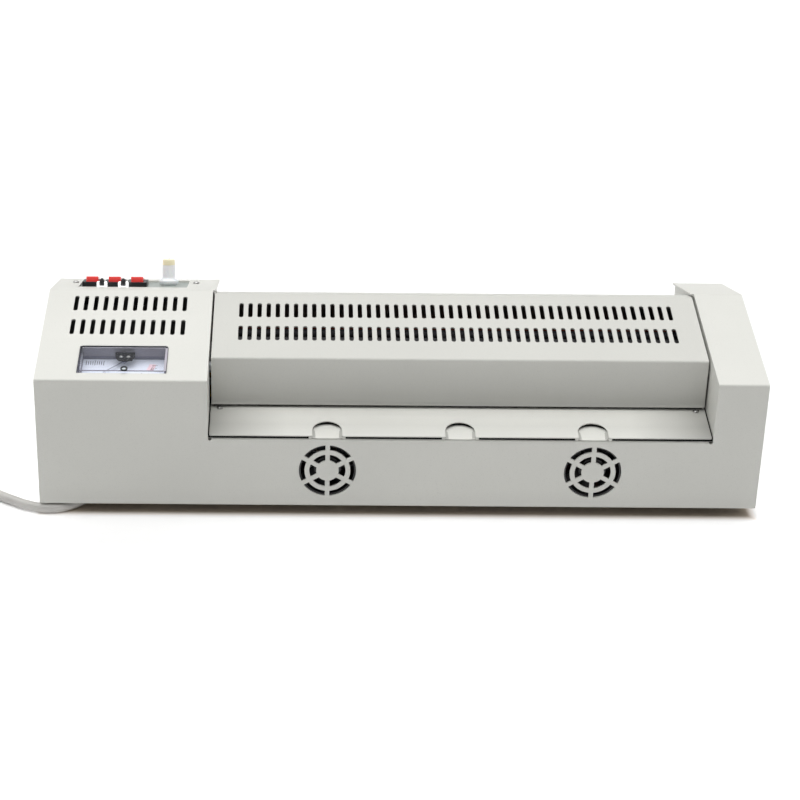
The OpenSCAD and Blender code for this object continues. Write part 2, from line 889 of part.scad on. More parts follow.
module motor_bracket() {
  color("silver") {
    difference() {
      translate([bracket_x, -40, 12.2]) cube([bracket_t, 80, 50]);
      bar(bracket_x - over, bracket_x + bracket_t + over, 10, 0, pinion_z);
    }
    for (p = standoff_at) bar(bracket_x + bracket_t, left_plate_x, 7, p[0], p[1]);
  }
}

module gear_motor() {
  color("gray") difference() {
    union() {
      bar(bracket_x - motor_len, bracket_x, motor_d, 0, pinion_z);
      bar(bracket_x - motor_len - 3, bracket_x - motor_len, 16, 0, pinion_z);
    }
    bar(bracket_x - 8.5, bracket_x + over, 6 + 2 * fit, 0, pinion_z);
  }
}

module shoe(z, up) {
  x0 = left_plate_x + plate_t;
  x1 = right_plate_x;
  translate([0, -roller_y, z]) difference() {
    union() {
      along_x(x0, x1) intersection() {
        difference() {
          circle(r = shoe_r + shoe_t, $fn = 96);
          circle(r = shoe_r, $fn = 96);
        }
        translate([-20, up > 0 ? 4 : -24]) square([40, 20]);
      }
      translate([bay_mid - boss_len / 2, -boss_w / 2, up > 0 ? shoe_r + 1 : -boss_r - 3.5])
        cube([boss_len, boss_w, boss_r + 2.5 - shoe_r]);
    }
    bar(bay_mid - boss_len, bay_mid + boss_len, rod_d + 2 * fit, 0, up * boss_r);
  }
}

module heating_shoes() {
  color("silver") {
    shoe(upper_z, 1);
    shoe(lower_z, -1);
  }
}

module heater_rods() {
  color("lightgray") for (p = [[upper_z, 1], [lower_z, -1]])
    bar(bay_mid - rod_len / 2, bay_mid + rod_len / 2, rod_d, -roller_y, p[0] + p[1] * boss_r);
}

module thermal_cutouts() {
  y0 = -roller_y + boss_w / 2;
  color("darkslategray") for (p = [[upper_z, 16.4], [lower_z, -21.4]])
    translate([bay_mid - 10, y0, p[0] + p[1]]) {
      cube([20, 5, 5]);
      for (x = [-5, 20]) translate([x, 2, 2]) cube([5, 0.8, 1.6]);
    }
}

// ---- Electronics ----

board_z = 16;

module circuit_board() {
  color("seagreen") {
    translate([-250, -75, board_z]) cube([65, 110, 1.6]);
    for (x = [-246, -190]) for (y = [-40, 30]) translate([x, y, 0]) disc(3, foot_h + sheet_t, board_z);
  }
}

module board_parts() {
  top = board_z + 1.6;
  color("darkslategray") {
    translate([-246, -70, top]) cube([40, 34, 30]);
    translate([-200, -66, top]) cube([12, 24, 14]);
    translate([-240, -28, top]) cube([18, 15, 16]);
    translate([-216, -28, top]) cube([18, 15, 16]);
    translate([-238, 0, 0]) disc(6, top, top + 22);
    translate([-222, 0, 0]) disc(5, top, top + 16);
    translate([-244, 16, top]) cube([50, 10, 12]);
  }
}

// ---- Fans ----

fan_size = 40;
fan_depth = 10;
fan_y = y_front + sheet_t;

module fan_frame(x) {
  translate([x, fan_y, grille_z]) rotate([-90, 0, 0]) {
    difference() {
      block(fan_size, fan_size, 0, fan_depth);
      disc(19, -over, fan_depth + over);
      for (u = [-16, 16]) for (v = [-16, 16]) translate([u, v, 0]) disc(1.7, -over, fan_depth + over);
    }
    difference() {
      union() {
        disc(9, fan_depth - 1.2, fan_depth);
        for (a = [45, 135]) rotate(a) block(39.5, 2.5, fan_depth - 1.2, fan_depth);
      }
      disc(1.5 + fit, fan_depth - over, fan_depth + over);
    }
  }
}

module fan_frames() {
  color("black") for (x = grille_xs) fan_frame(x);
}

module fan_rotor(x) {
  color("dimgray") translate([x, fan_y, grille_z]) rotate([-90, 0, 0]) {
    disc(9.5, 1.5, fan_depth - 1.7);
    disc(1.5, fan_depth - 1.8, fan_depth);
    for (a = [0 : 360 / 7 : 359]) rotate(a) translate([9, 0, 4.9]) rotate([40, 0, 0])
      translate([0, -4.2, -0.4]) cube([9.2, 8.4, 0.8]);
  }
}

module left_fan_rotor() {
  fan_rotor(grille_xs[0]);
}

module right_fan_rotor() {
  fan_rotor(grille_xs[1]);
}

// ---- Mains lead ----

function unit(v) = v / norm(v);

// Direction of the route at point i
function heading(route, i) = unit(route[min(i + 1, len(route) - 1)] - route[max(i - 1, 0)]);

// Ring of points round the route at point i
function ring(route, i, r, sides) =
  let (t = heading(route, i), side = unit(cross(t, [0, 0, 1])), up = cross(side, t))
  [for (k = [0 : sides - 1]) route[i] + r * (cos(k * 360 / sides) * side + sin(k * 360 / sides) * up)];

module tube(route, r, sides) {
  n = len(route);
  polyhedron(
    points = [for (i = [0 : n - 1]) each ring(route, i, r, sides)],
    faces = concat(
      [[for (k = [0 : sides - 1]) k]],
      [for (i = [0 : n - 2]) for (k = [0 : sides - 1])
        [i * sides + k, (i + 1) * sides + k, (i + 1) * sides + (k + 1) % sides, i * sides + (k + 1) % sides]],
      [[for (k = [sides - 1 : -1 : 0]) (n - 1) * sides + k]]
    )
  );
}

module strain_relief() {
  color("dimgray") translate([relief_x, y_back, relief_z]) rotate([-90, 0, 0]) {
    disc(6, -sheet_t, 0);
    disc(8, -sheet_t - 3, -sheet_t);
    disc(8, 0, 3);
    translate([0, 0, 3]) cylinder(r1 = 5.5, r2 = 4.1, h = relief_len - 3);
  }
}

module mains_lead() {
  color("lightgray") tube(lead_route, lead_d / 2, 10);
}

module plug_lead() {
  color("lightgray") tube(plug_route, lead_d / 2, 10);
}

coil_half = coil_columns * coil_pitch / 2;
coil_z1 = coil_z0 + coil_layers * lead_d + 0.4;

module lead_coil() {
  color("lightgray") translate([coil_at[0], coil_at[1], 0]) rotate_extrude($fn = 96)
    translate([coil_mid_r - coil_half, coil_z0]) square([2 * coil_half, coil_z1 - coil_z0]);
}

module coil_tie() {
  t = coil_z0;
  color("black") translate([coil_at[0], coil_at[1], 0]) rotate(190) rotate_extrude(angle = 18, $fn = 96)
    difference() {
      translate([coil_mid_r - coil_half - t, 0]) square([2 * coil_half + 2 * t, coil_z1 + t]);
      translate([coil_mid_r - coil_half, coil_z0]) square([2 * coil_half, coil_z1 - coil_z0]);
    }
}

module along_plug() {
  translate(plug_at) rotate([-90, 0, 0]) children();
}

module plug() {
  color("lightgray") along_plug() {
    cylinder(r1 = 4.4, r2 = 8, h = plug_relief_len);
    translate([0, 0, plug_relief_len]) linear_extrude(plug_body_len) {
      square([26, 12], center = true);
      square([16, 22], center = true);
      for (u = [-8, 8]) for (v = [-6, 6]) translate([u, v]) circle(r = 5);
    }
  }
}

module plug_pins() {
  pins_at = plug_relief_len + plug_body_len;
  color("silver") along_plug() {
    for (side = [-1, 1]) translate([side * 7, -3, 0]) rotate(side * 30) block(1.6, 6.3, pins_at, pins_at + 17);
    translate([0, 6, 0]) block(1.6, 6.3, pins_at, pins_at + 19);
  }
}

casing();
base_plate();
top_cover();
infeed_tray();
exit_tray();
rubber_feet();
case_screws();
control_plate();
rocker_housings();
rocker_left();
rocker_middle();
rocker_right();
lamp_lenses();
lamp_cores();
potentiometer();
knob_shaft();
knob();
knob_cap();
meter_case();
meter_dial();
meter_window();
meter_needle();
meter_boss();
left_frame_plate();
right_frame_plate();
tie_bars();
lower_front_sleeve();
lower_front_shaft();
lower_front_gear();
upper_front_sleeve();
upper_front_shaft();
upper_front_gear();
lower_rear_sleeve();
lower_rear_shaft();
lower_rear_gear();
upper_rear_sleeve();
upper_rear_shaft();
upper_rear_gear();
idler_gear();
idler_pin();
drive_pinion();
gear_motor();
motor_bracket();
roller_bushes();
heating_shoes();
heater_rods();
thermal_cutouts();
circuit_board();
board_parts();
fan_frames();
left_fan_rotor();
right_fan_rotor();
strain_relief();
mains_lead();
lead_coil();
coil_tie();
plug_lead();
plug();
plug_pins();
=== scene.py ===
"""Looks of a table-top pouch laminator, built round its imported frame.

X runs to the operator's right, Y to the back and Z up. Shapes are drawn in millimetres
and scaled to metres when they become objects.
"""
import math

import bmesh
import bpy
from mathutils import Matrix, Vector


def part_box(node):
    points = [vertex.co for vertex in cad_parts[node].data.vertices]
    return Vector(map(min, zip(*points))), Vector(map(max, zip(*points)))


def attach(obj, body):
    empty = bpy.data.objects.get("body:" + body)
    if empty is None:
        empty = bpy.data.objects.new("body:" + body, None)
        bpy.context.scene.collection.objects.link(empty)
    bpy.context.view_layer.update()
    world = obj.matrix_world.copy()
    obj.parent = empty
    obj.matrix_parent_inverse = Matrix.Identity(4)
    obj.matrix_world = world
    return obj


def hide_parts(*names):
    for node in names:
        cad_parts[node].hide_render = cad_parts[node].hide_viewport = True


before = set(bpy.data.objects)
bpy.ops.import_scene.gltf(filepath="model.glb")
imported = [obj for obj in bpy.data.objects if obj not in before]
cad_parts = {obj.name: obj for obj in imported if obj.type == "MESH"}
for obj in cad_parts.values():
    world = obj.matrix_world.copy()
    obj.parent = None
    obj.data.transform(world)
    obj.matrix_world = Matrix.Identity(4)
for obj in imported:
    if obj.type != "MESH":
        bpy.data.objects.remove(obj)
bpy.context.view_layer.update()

MM = 0.001
SCENE = bpy.context.scene


def box_mm(node):
    """Lowest and highest corner of a CAD node, in millimetres."""
    low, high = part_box(node)
    return low / MM, high / MM


# ---- Sizes, in millimetres ----

casing_lo, casing_hi = box_mm("casing")
tray_lo, tray_hi = box_mm("infeed_tray")
cover_lo, cover_hi = box_mm("top_cover")
X_LEFT, X_RIGHT = casing_lo.x, casing_hi.x
Y_FRONT, Y_BACK = casing_lo.y, casing_hi.y
FOOT_H = casing_lo.z
RIDGE_Z = casing_hi.z
TRAY_SIDE_GAP = 0.8
BAY_X0 = tray_lo.x - TRAY_SIDE_GAP
BAY_X1 = tray_hi.x + TRAY_SIDE_GAP
BAY_MID = (BAY_X0 + BAY_X1) / 2
SHEET = 1.2
BEND = 0.7
FRONT_CREASE_Z = 106.2
REAR_CREASE_Z = 102.3
RIDGE_Y = Y_FRONT + 114.4
PANEL_TOP_Z = 61.6
FLANGE = 24
FRONT_SLOPE = math.degrees(math.atan((RIDGE_Z - FRONT_CREASE_Z) / (RIDGE_Y - Y_FRONT)))
REAR_SLOPE = math.degrees(math.atan((RIDGE_Z - REAR_CREASE_Z) / (Y_BACK - RIDGE_Y)))
COVER_CREASE_Z = 108.5
COVER_RIDGE_Y = 19.7
COVER_BREAK_Y = 33.7
COVER_BACK_SLOPE = 27.5
COVER_SLOPE = math.degrees(math.atan((cover_hi.z - COVER_CREASE_Z) / (COVER_RIDGE_Y - cover_lo.y)))
TRAY_EDGE_Z = 64.4
TRAY_RISE = 9.3
NOTCH_W = 20.8
NOTCH_D = 17
NOTCH_PITCH = 93.5
GRILLE_XS = (-50.5, 137)
GRILLE_Z = 36.4
CONTROL_Y = 60
ROCKER_XS = (-227, -210.15, -193.3)
ROCKER_W = 9.2
LAMP_V = -16.8
LAMP_SHIFTS = (-0.2, -1.1)
KNOB_AT = (-170.2, 6)
METER_AT = (-194.75, -67.85)
METER_W = 62
METER_LEN = 32.6
PIVOT_V = 10
ZERO_SCREW_AT = (1.8, -13.9)
BOSS_AT = (0.6, 10.9)
BOSS_R = 7
NEEDLE_REST = -45
NEEDLE_LEN = 20
LEAD_R = 3.5
# Edges turned by more degrees than these are shaded sharp, and rounded by soften
SHARP_ABOVE = 35
SOFTEN_ABOVE = 40
NOTCHES = [BAY_MID + k * NOTCH_PITCH for k in (-1, 0, 1)]
FEET_AT = [(x, y) for x in (-243, 243) for y in (-60, 60)]
RELIEF_HOLE_R = 1.4
TRAY_INNER_Y = 46
TRAY_SCREW_IN = 7.4
TRAY_SCREW_Y = 61.5
CONTROL_SCREW_XS = (-240.5, -149.3)
# Openings, as their lowest and highest corners
CONTROL_OPENING = (-236, -23, -155, 23)
WALL_OPENING = (-56, 26, 56, 104)
# Slots: the rows' places, first slot, pitch, count, width and length
LEFT_VENTS = ((3.2, -27.2), -233.8, 7.2, 12, 3.2, 19.4)
COVER_VENTS = ((-1, -29.5), -113.3, 6.64, 48, 3.15, 18)


def rise(slope):
    """Height gained for each millimetre along a slope in degrees."""
    return math.tan(math.radians(slope))


def housing_z(y):
    """Height of the housings' outer surface."""
    if y < RIDGE_Y:
        return FRONT_CREASE_Z + (y - Y_FRONT) * rise(FRONT_SLOPE)
    return RIDGE_Z - (y - RIDGE_Y) * rise(REAR_SLOPE)


def cover_z(y):
    """Height of the cover's outer surface."""
    if y < COVER_RIDGE_Y:
        return COVER_CREASE_Z + (y - cover_lo.y) * rise(COVER_SLOPE)
    strip = min(y, COVER_BREAK_Y) - COVER_RIDGE_Y
    back = max(y - COVER_BREAK_Y, 0)
    return cover_hi.z - strip * rise(REAR_SLOPE) - back * rise(COVER_BACK_SLOPE)


def tray_z(y):
    """Height of a tray's top surface."""
    return TRAY_EDGE_Z + (Y_BACK - abs(y)) * rise(TRAY_RISE)


def turned(degrees, axis):
    """Rotation about an axis through the origin."""
    return Matrix.Rotation(math.radians(degrees), 4, axis)


def shifted(where, x, y=0, z=0):
    """The frame, moved along its own axes."""
    return where @ Matrix.Translation((x, y, z))


def on_sheet(x, y, z, slope):
    """Frame on a sloping sheet: x to the right, y up the slope, z out of the sheet."""
    return Matrix.Translation((x, y, z)) @ turned(slope, "X")


CONTROLS = on_sheet(0, CONTROL_Y, housing_z(CONTROL_Y), -REAR_SLOPE)
METER = on_sheet(METER_AT[0], METER_AT[1], housing_z(METER_AT[1]), FRONT_SLOPE)
ALONG_X = Matrix(((0, 0, 1, 0), (1, 0, 0, 0), (0, 1, 0, 0), (0, 0, 0, 1)))
ALONG_Y = Matrix(((1, 0, 0, 0), (0, 0, 1, 0), (0, 1, 0, 0), (0, 0, 0, 1)))


# ---- Camera, light and floor ----

def make_camera():
    """A long lens in front and above, a little to the left of the middle."""
    data = bpy.data.cameras.new("camera")
    data.lens = 92.95
    data.shift_x = 0.1295
    camera = bpy.data.objects.new("camera", data)
    yaw, pitch, roll = (math.radians(a) for a in (0.08, 26.72, 0.48))
    ahead = Vector((math.sin(yaw) * math.cos(pitch), math.cos(yaw) * math.cos(pitch), -math.sin(pitch)))
    right = Vector((math.cos(yaw), -math.sin(yaw), 0))
    up = right.cross(ahead)
    rolled_right = math.cos(roll) * right + math.sin(roll) * up
    rolled_up = math.cos(roll) * up - math.sin(roll) * right
    turn = Matrix((rolled_right, rolled_up, -ahead)).transposed().to_4x4()
    camera.matrix_world = Matrix.Translation((-0.07461, -1.37465, 0.73735)) @ turn
    SCENE.collection.objects.link(camera)
    SCENE.camera = camera


def sky_glow(tree, direction, towards, spread, strength, base):
    """Soft light from one part of the sky, added to a base strength."""
    facing = node(tree, "ShaderNodeVectorMath", [(0, direction), (1, Vector(towards).normalized())],
                  operation="DOT_PRODUCT")
    above = node(tree, "ShaderNodeMath", [(0, facing.outputs["Value"]), (1, 0)], operation="MAXIMUM")
    focus = node(tree, "ShaderNodeMath", [(0, above.outputs[0]), (1, spread)], operation="POWER")
    added = node(tree, "ShaderNodeMath", [(0, focus.outputs[0]), (1, strength), (2, base)],
                 operation="MULTIPLY_ADD")
    return added.outputs[0]


def make_studio():
    """White table under one wide soft light, with two weaker ones at the sides."""
    SCENE.view_settings.view_transform = "Standard"
    world = bpy.data.worlds.new("studio")
    world.use_nodes = True
    tree = world.node_tree
    direction = node(tree, "ShaderNodeTexCoord").outputs["Generated"]
    strength = sky_glow(tree, direction, (-0.05, 0.13, 1), 4, 3.5, 0.04)
    strength = sky_glow(tree, direction, (-0.9, 0.1, 0.4), 8, 0.35, strength)
    strength = sky_glow(tree, direction, (0.9, 0.1, 0.4), 8, 0.45, strength)
    tree.links.new(strength, tree.nodes["Background"].inputs["Strength"])
    tree.nodes["Background"].inputs["Color"].default_value = (1, 1, 1, 1)
    SCENE.world = world
    mesh = bpy.data.meshes.new("floor")
    half = 8
    corners = [(u, v, 0) for u, v in rect(-half, -half, half, half)]
    mesh.from_pydata(corners, [], [(0, 1, 2, 3)])
    floor = bpy.data.objects.new("floor", mesh)
    SCENE.collection.objects.link(floor)
    mesh.materials.append(floor_paper())


# ---- Materials ----

def srgb(red, green, blue):
    """Linear colour of a screen colour from 0 to 255."""
    def linear(value):
        value /= 255
        return value / 12.92 if value <= 0.04045 else ((value + 0.055) / 1.055) ** 2.4
    return (linear(red), linear(green), linear(blue), 1)


def new_material(name, **sockets):
    """A material, its node tree and its shader, with these values on the shader's sockets."""
    material = bpy.data.materials.new(name)
    material.use_nodes = True
    shader = material.node_tree.nodes["Principled BSDF"]
    for socket, value in sockets.items():
        shader.inputs[socket.replace("_", " ")].default_value = value
    return material, material.node_tree, shader


def node(tree, kind, inputs=(), **settings):
    """A node with these settings; inputs are pairs of socket and value or other socket."""
    made = tree.nodes.new(kind)
    for name, value in settings.items():
        setattr(made, name, value)
    for socket, value in inputs:
        if isinstance(value, bpy.types.NodeSocket):
            tree.links.new(value, made.inputs[socket])
        else:
            made.inputs[socket].default_value = value
    return made


def feed(shader, socket, output):
    """Links an output to one of the shader's sockets."""
    shader.id_data.links.new(output, shader.inputs[socket])


def place(tree, stretch=(1, 1, 1)):
    """Object coordinates in metres, stretched along the axes."""
    coords = node(tree, "ShaderNodeTexCoord")
    mapped = node(tree, "ShaderNodeMapping", [("Vector", coords.outputs["Object"]), ("Scale", stretch)])
    return mapped.outputs["Vector"]


def noise(tree, where, scale, detail=3, rough=0.55):
    """Cloudy noise from 0 to 1, with scale in features for each metre."""
    made = node(tree, "ShaderNodeTexNoise",
                [("Vector", where), ("Scale", scale), ("Detail", detail), ("Roughness", rough)])
    return made.outputs["Fac"]


def between(tree, value, low, high, out_low=0.0, out_high=1.0):
    """Maps a value from one range to another, and keeps it inside."""
    made = node(tree, "ShaderNodeMapRange", [
        (0, value), (1, low), (2, high), (3, out_low), (4, out_high)])
    return made.outputs[0]


def blend_colour(tree, amount, first, second):
    """Mixes two colours by an amount."""
    made = node(tree, "ShaderNodeMix", data_type="RGBA")
    for socket, value in ((0, amount), (6, first), (7, second)):
        if isinstance(value, bpy.types.NodeSocket):
            tree.links.new(value, made.inputs[socket])
        else:
            made.inputs[socket].default_value = value
    return made.outputs[2]


def raise_surface(tree, shader, height, distance, strength=1.0, under=None):
    """Bumps the shader's normal by a height of that distance in metres."""
    inputs = [("Height", height), ("Distance", distance), ("Strength", strength)]
    if under is not None:
        inputs.append(("Normal", under))
    made = node(tree, "ShaderNodeBump", inputs)
    feed(shader, "Normal", made.outputs["Normal"])
    return made.outputs["Normal"]


def scaled_colour(colour, factor):
    """The colour, lighter or darker by a factor."""
    return tuple(min(1, c * factor) for c in colour[:3]) + (1,)


def floor_paper():
    """White seamless paper, with painted shade under the casing (darker and warmer there) and a faint painted
    glow in a narrow zone round it.
    """
    material, tree, shader = new_material("floor_paper", Roughness=0.9, Specular_IOR_Level=0.1)
    where = place(tree)
    tone = between(tree, noise(tree, where, 3), 0.3, 0.7)
    colour = blend_colour(tree, tone, (0.92, 0.92, 0.92, 1), (0.94, 0.94, 0.94, 1))
    half = Vector((X_RIGHT, Y_BACK, 1000)) * MM
    ways = node(tree, "ShaderNodeVectorMath", [(0, where)], operation="ABSOLUTE").outputs[0]
    beyond = node(tree, "ShaderNodeSeparateXYZ",
                  [("Vector", node(tree, "ShaderNodeVectorMath", [(0, ways), (1, half)],
                                   operation="SUBTRACT").outputs[0])])
    outside = node(tree, "ShaderNodeMath", [(0, beyond.outputs["X"]), (1, beyond.outputs["Y"])],
                   operation="MAXIMUM").outputs[0]
    lit = between(tree, outside, -0.004, 0.004)
    # Painted shade: the paper under the casing's footprint is darker and warmer.
    colour = blend_colour(tree, lit, srgb(205, 190, 172), colour)
    feed(shader, "Base Color", colour)
    # Painted light: the paper glows faintly just outside the casing, fading out within 40 mm, which takes out
    # its contact shadow.
    shader.inputs["Emission Color"].default_value = (1, 1, 1, 1)
    fall = between(tree, outside, 0.004, 0.040, 0.28, 0)
    glow = node(tree, "ShaderNodeMath", [(0, lit), (1, fall)], operation="MULTIPLY").outputs[0]
    feed(shader, "Emission Strength", glow)
    raise_surface(tree, shader, noise(tree, where, 900), 0.00005)
    return material


def faded(tree, colour, value, low, high, first, last):
    """The colour, scaled by a factor that follows a value: painted light or shade."""
    factor = between(tree, value, low, high, first, last)
    return node(tree, "ShaderNodeVectorMath", [(0, colour), ("Scale", factor)], operation="SCALE").outputs[0]


def powder_coat(name, colour, gloss=0.42, painted_light_and_shade=()):
    """Baked paint on sheet metal: orange peel, fine specks, faint scuffs and dust near the table.

    Painted light and shade make the paint darker or lighter along an axis: the axis, two places and their two
    factors.
    """
    material, tree, shader = new_material(name, Specular_IOR_Level=0.45)
    where = place(tree)
    cloud = between(tree, noise(tree, where, 9, 4), 0.35, 0.65)
    base = blend_colour(tree, cloud, scaled_colour(colour, 0.975), scaled_colour(colour, 1.02))
    speck = between(tree, noise(tree, where, 1500, 2), 0.60, 0.74)
    base = blend_colour(tree, speck, base, scaled_colour(colour, 0.90))
    scuff_lines = noise(tree, place(tree, (1, 5, 1)), 60, 5, 0.7)
    scuff = between(tree, scuff_lines, 0.735, 0.80, 0, 0.35)
    base = blend_colour(tree, scuff, base, scaled_colour(colour, 0.62))
    height = node(tree, "ShaderNodeSeparateXYZ", [("Vector", where)]).outputs["Z"]
    dust = between(tree, height, 0.008, 0.022, 0.16, 0)
    base = blend_colour(tree, dust, base, scaled_colour(colour, 0.72))
    axes = node(tree, "ShaderNodeSeparateXYZ", [("Vector", where)]).outputs
    # Painted light and shade, one axis at a time.
    for axis, *places_and_factors in painted_light_and_shade:
        base = faded(tree, base, axes[axis], *places_and_factors)
    feed(shader, "Base Color", base)
    feed(shader, "Roughness", between(tree, cloud, 0, 1, gloss - 0.04, gloss + 0.06))
    peel = raise_surface(tree, shader, noise(tree, where, 620, 2), 0.00010, 0.5)
    raise_surface(tree, shader, noise(tree, where, 2600, 1), 0.00003, 0.5, peel)
    return material


def moulded_plastic(name, colour, rough=0.4, grain=1400, depth=0.00004, **sockets):
    """Moulded plastic or rubber: slight colour drift, spark-eroded grain and uneven gloss."""
    material, tree, shader = new_material(name, **sockets)
    where = place(tree)
    drift = between(tree, noise(tree, where, 45, 4), 0.3, 0.7)
    base = blend_colour(tree, drift, scaled_colour(colour, 0.93), scaled_colour(colour, 1.05))
    feed(shader, "Base Color", base)
    feed(shader, "Roughness", between(tree, drift, 0, 1, rough - 0.05, rough + 0.07))
    raise_surface(tree, shader, noise(tree, where, grain, 3), depth)
    return material


def bare_metal(name, colour, rough=0.3, stretch=(1, 1, 1), scale=900, stain=0.85):
    """Machined or drawn metal: brush lines along the stretched axis, and cloudy stains."""
    material, tree, shader = new_material(name, Metallic=1.0)
    brush = noise(tree, place(tree, stretch), scale, 4, 0.6)
    cloud = between(tree, noise(tree, place(tree), 25, 5), 0.35, 0.7)
    base = blend_colour(tree, cloud, scaled_colour(colour, stain), colour)
    base = blend_colour(tree, between(tree, brush, 0.4, 0.8, 0, 0.3), base, scaled_colour(colour, 0.7))
    feed(shader, "Base Color", base)
    feed(shader, "Roughness", between(tree, brush, 0.3, 0.7, rough - 0.08, rough + 0.12))
    raise_surface(tree, shader, brush, 0.00003)
    return material


def zinc_sheet():
    """Galvanised sheet with its crystal pattern."""
    material, tree, shader = new_material("zinc_sheet", Metallic=1.0)
    where = place(tree)
    cells = node(tree, "ShaderNodeTexVoronoi", [("Vector", where), ("Scale", 130), ("Randomness", 1.0)])
    grey = node(tree, "ShaderNodeSeparateColor", [("Color", cells.outputs["Color"])]).outputs[0]
    colour = blend_colour(tree, grey, srgb(160, 163, 166), srgb(196, 199, 201))
    feed(shader, "Base Color", colour)
    feed(shader, "Roughness", between(tree, grey, 0, 1, 0.3, 0.48))
    raise_surface(tree, shader, noise(tree, where, 700, 3), 0.00004)
    return material


def silicone_rubber():
    """Red-brown roller rubber with a ground surface and a faint pouch residue."""
    material, tree, shader = new_material("silicone", Specular_IOR_Level=0.35)
    where = place(tree)
    rings = noise(tree, place(tree, (1, 0.05, 0.05)), 500, 3)
    cloud = between(tree, noise(tree, where, 30, 4), 0.35, 0.7)
    colour = blend_colour(tree, cloud, srgb(122, 48, 34), srgb(142, 62, 44))
    colour = blend_colour(tree, between(tree, rings, 0.5, 0.8, 0, 0.4), colour, srgb(98, 38, 30))
    feed(shader, "Base Color", colour)
    feed(shader, "Roughness", between(tree, cloud, 0, 1, 0.5, 0.68))
    raise_surface(tree, shader, rings, 0.00004)
    return material


def printed_card():
    """White card with a bluish tint, a faint painted glow, and painted shade towards its far edge."""
    # The emission is a painted glow that lifts the card in its hollow.
    material, tree, shader = new_material("dial_card", Roughness=0.6, Emission_Strength=0.14,
                                          Emission_Color=(0.84, 0.9, 1, 1))
    where = place(tree)
    drift = between(tree, noise(tree, where, 60), 0.3, 0.7)
    colour = blend_colour(tree, drift, srgb(216, 222, 238), srgb(226, 231, 246))
    far = node(tree, "ShaderNodeSeparateXYZ", [("Vector", where)]).outputs["Y"]
    # Painted shade: the card darker towards its far edge, below the case wall.
    edge = (METER_AT[1] + METER_LEN / 2) * MM
    colour = faded(tree, colour, far, edge - 0.020, edge - 0.004, 1, 0.7)
    feed(shader, "Base Color", colour)
    raise_surface(tree, shader, noise(tree, where, 1800), 0.00001)
    return material


def circuit_green():
    """Solder mask with copper tracks showing through."""
    material, tree, shader = new_material("board_green", Roughness=0.32, Coat_Weight=0.4)
    where = place(tree)
    tracks = node(tree, "ShaderNodeTexVoronoi", [("Vector", where), ("Scale", 160)],
                  distance="CHEBYCHEV", feature="DISTANCE_TO_EDGE")
    line = between(tree, tracks.outputs["Distance"], 0.05, 0.09)
    colour = blend_colour(tree, line, srgb(50, 128, 84), srgb(22, 82, 52))
    feed(shader, "Base Color", colour)
    raise_surface(tree, shader, line, 0.00004)
    return material


def clear_acrylic():
    """Clear moulded window, clearest seen from straight on, with faint rub marks."""
    material, tree, shader = new_material("clear_lens", Base_Color=(0.80, 0.83, 0.90, 1),
                                          Specular_IOR_Level=0.6)
    rubs = noise(tree, place(tree, (1, 6, 1)), 300, 5, 0.7)
    feed(shader, "Roughness", between(tree, rubs, 0.6, 0.85, 0.03, 0.16))
    glance = node(tree, "ShaderNodeLayerWeight", [("Blend", 0.5)]).outputs["Facing"]
    feed(shader, "Alpha", between(tree, glance, 0.45, 1, 0.025, 0.8))
    return material


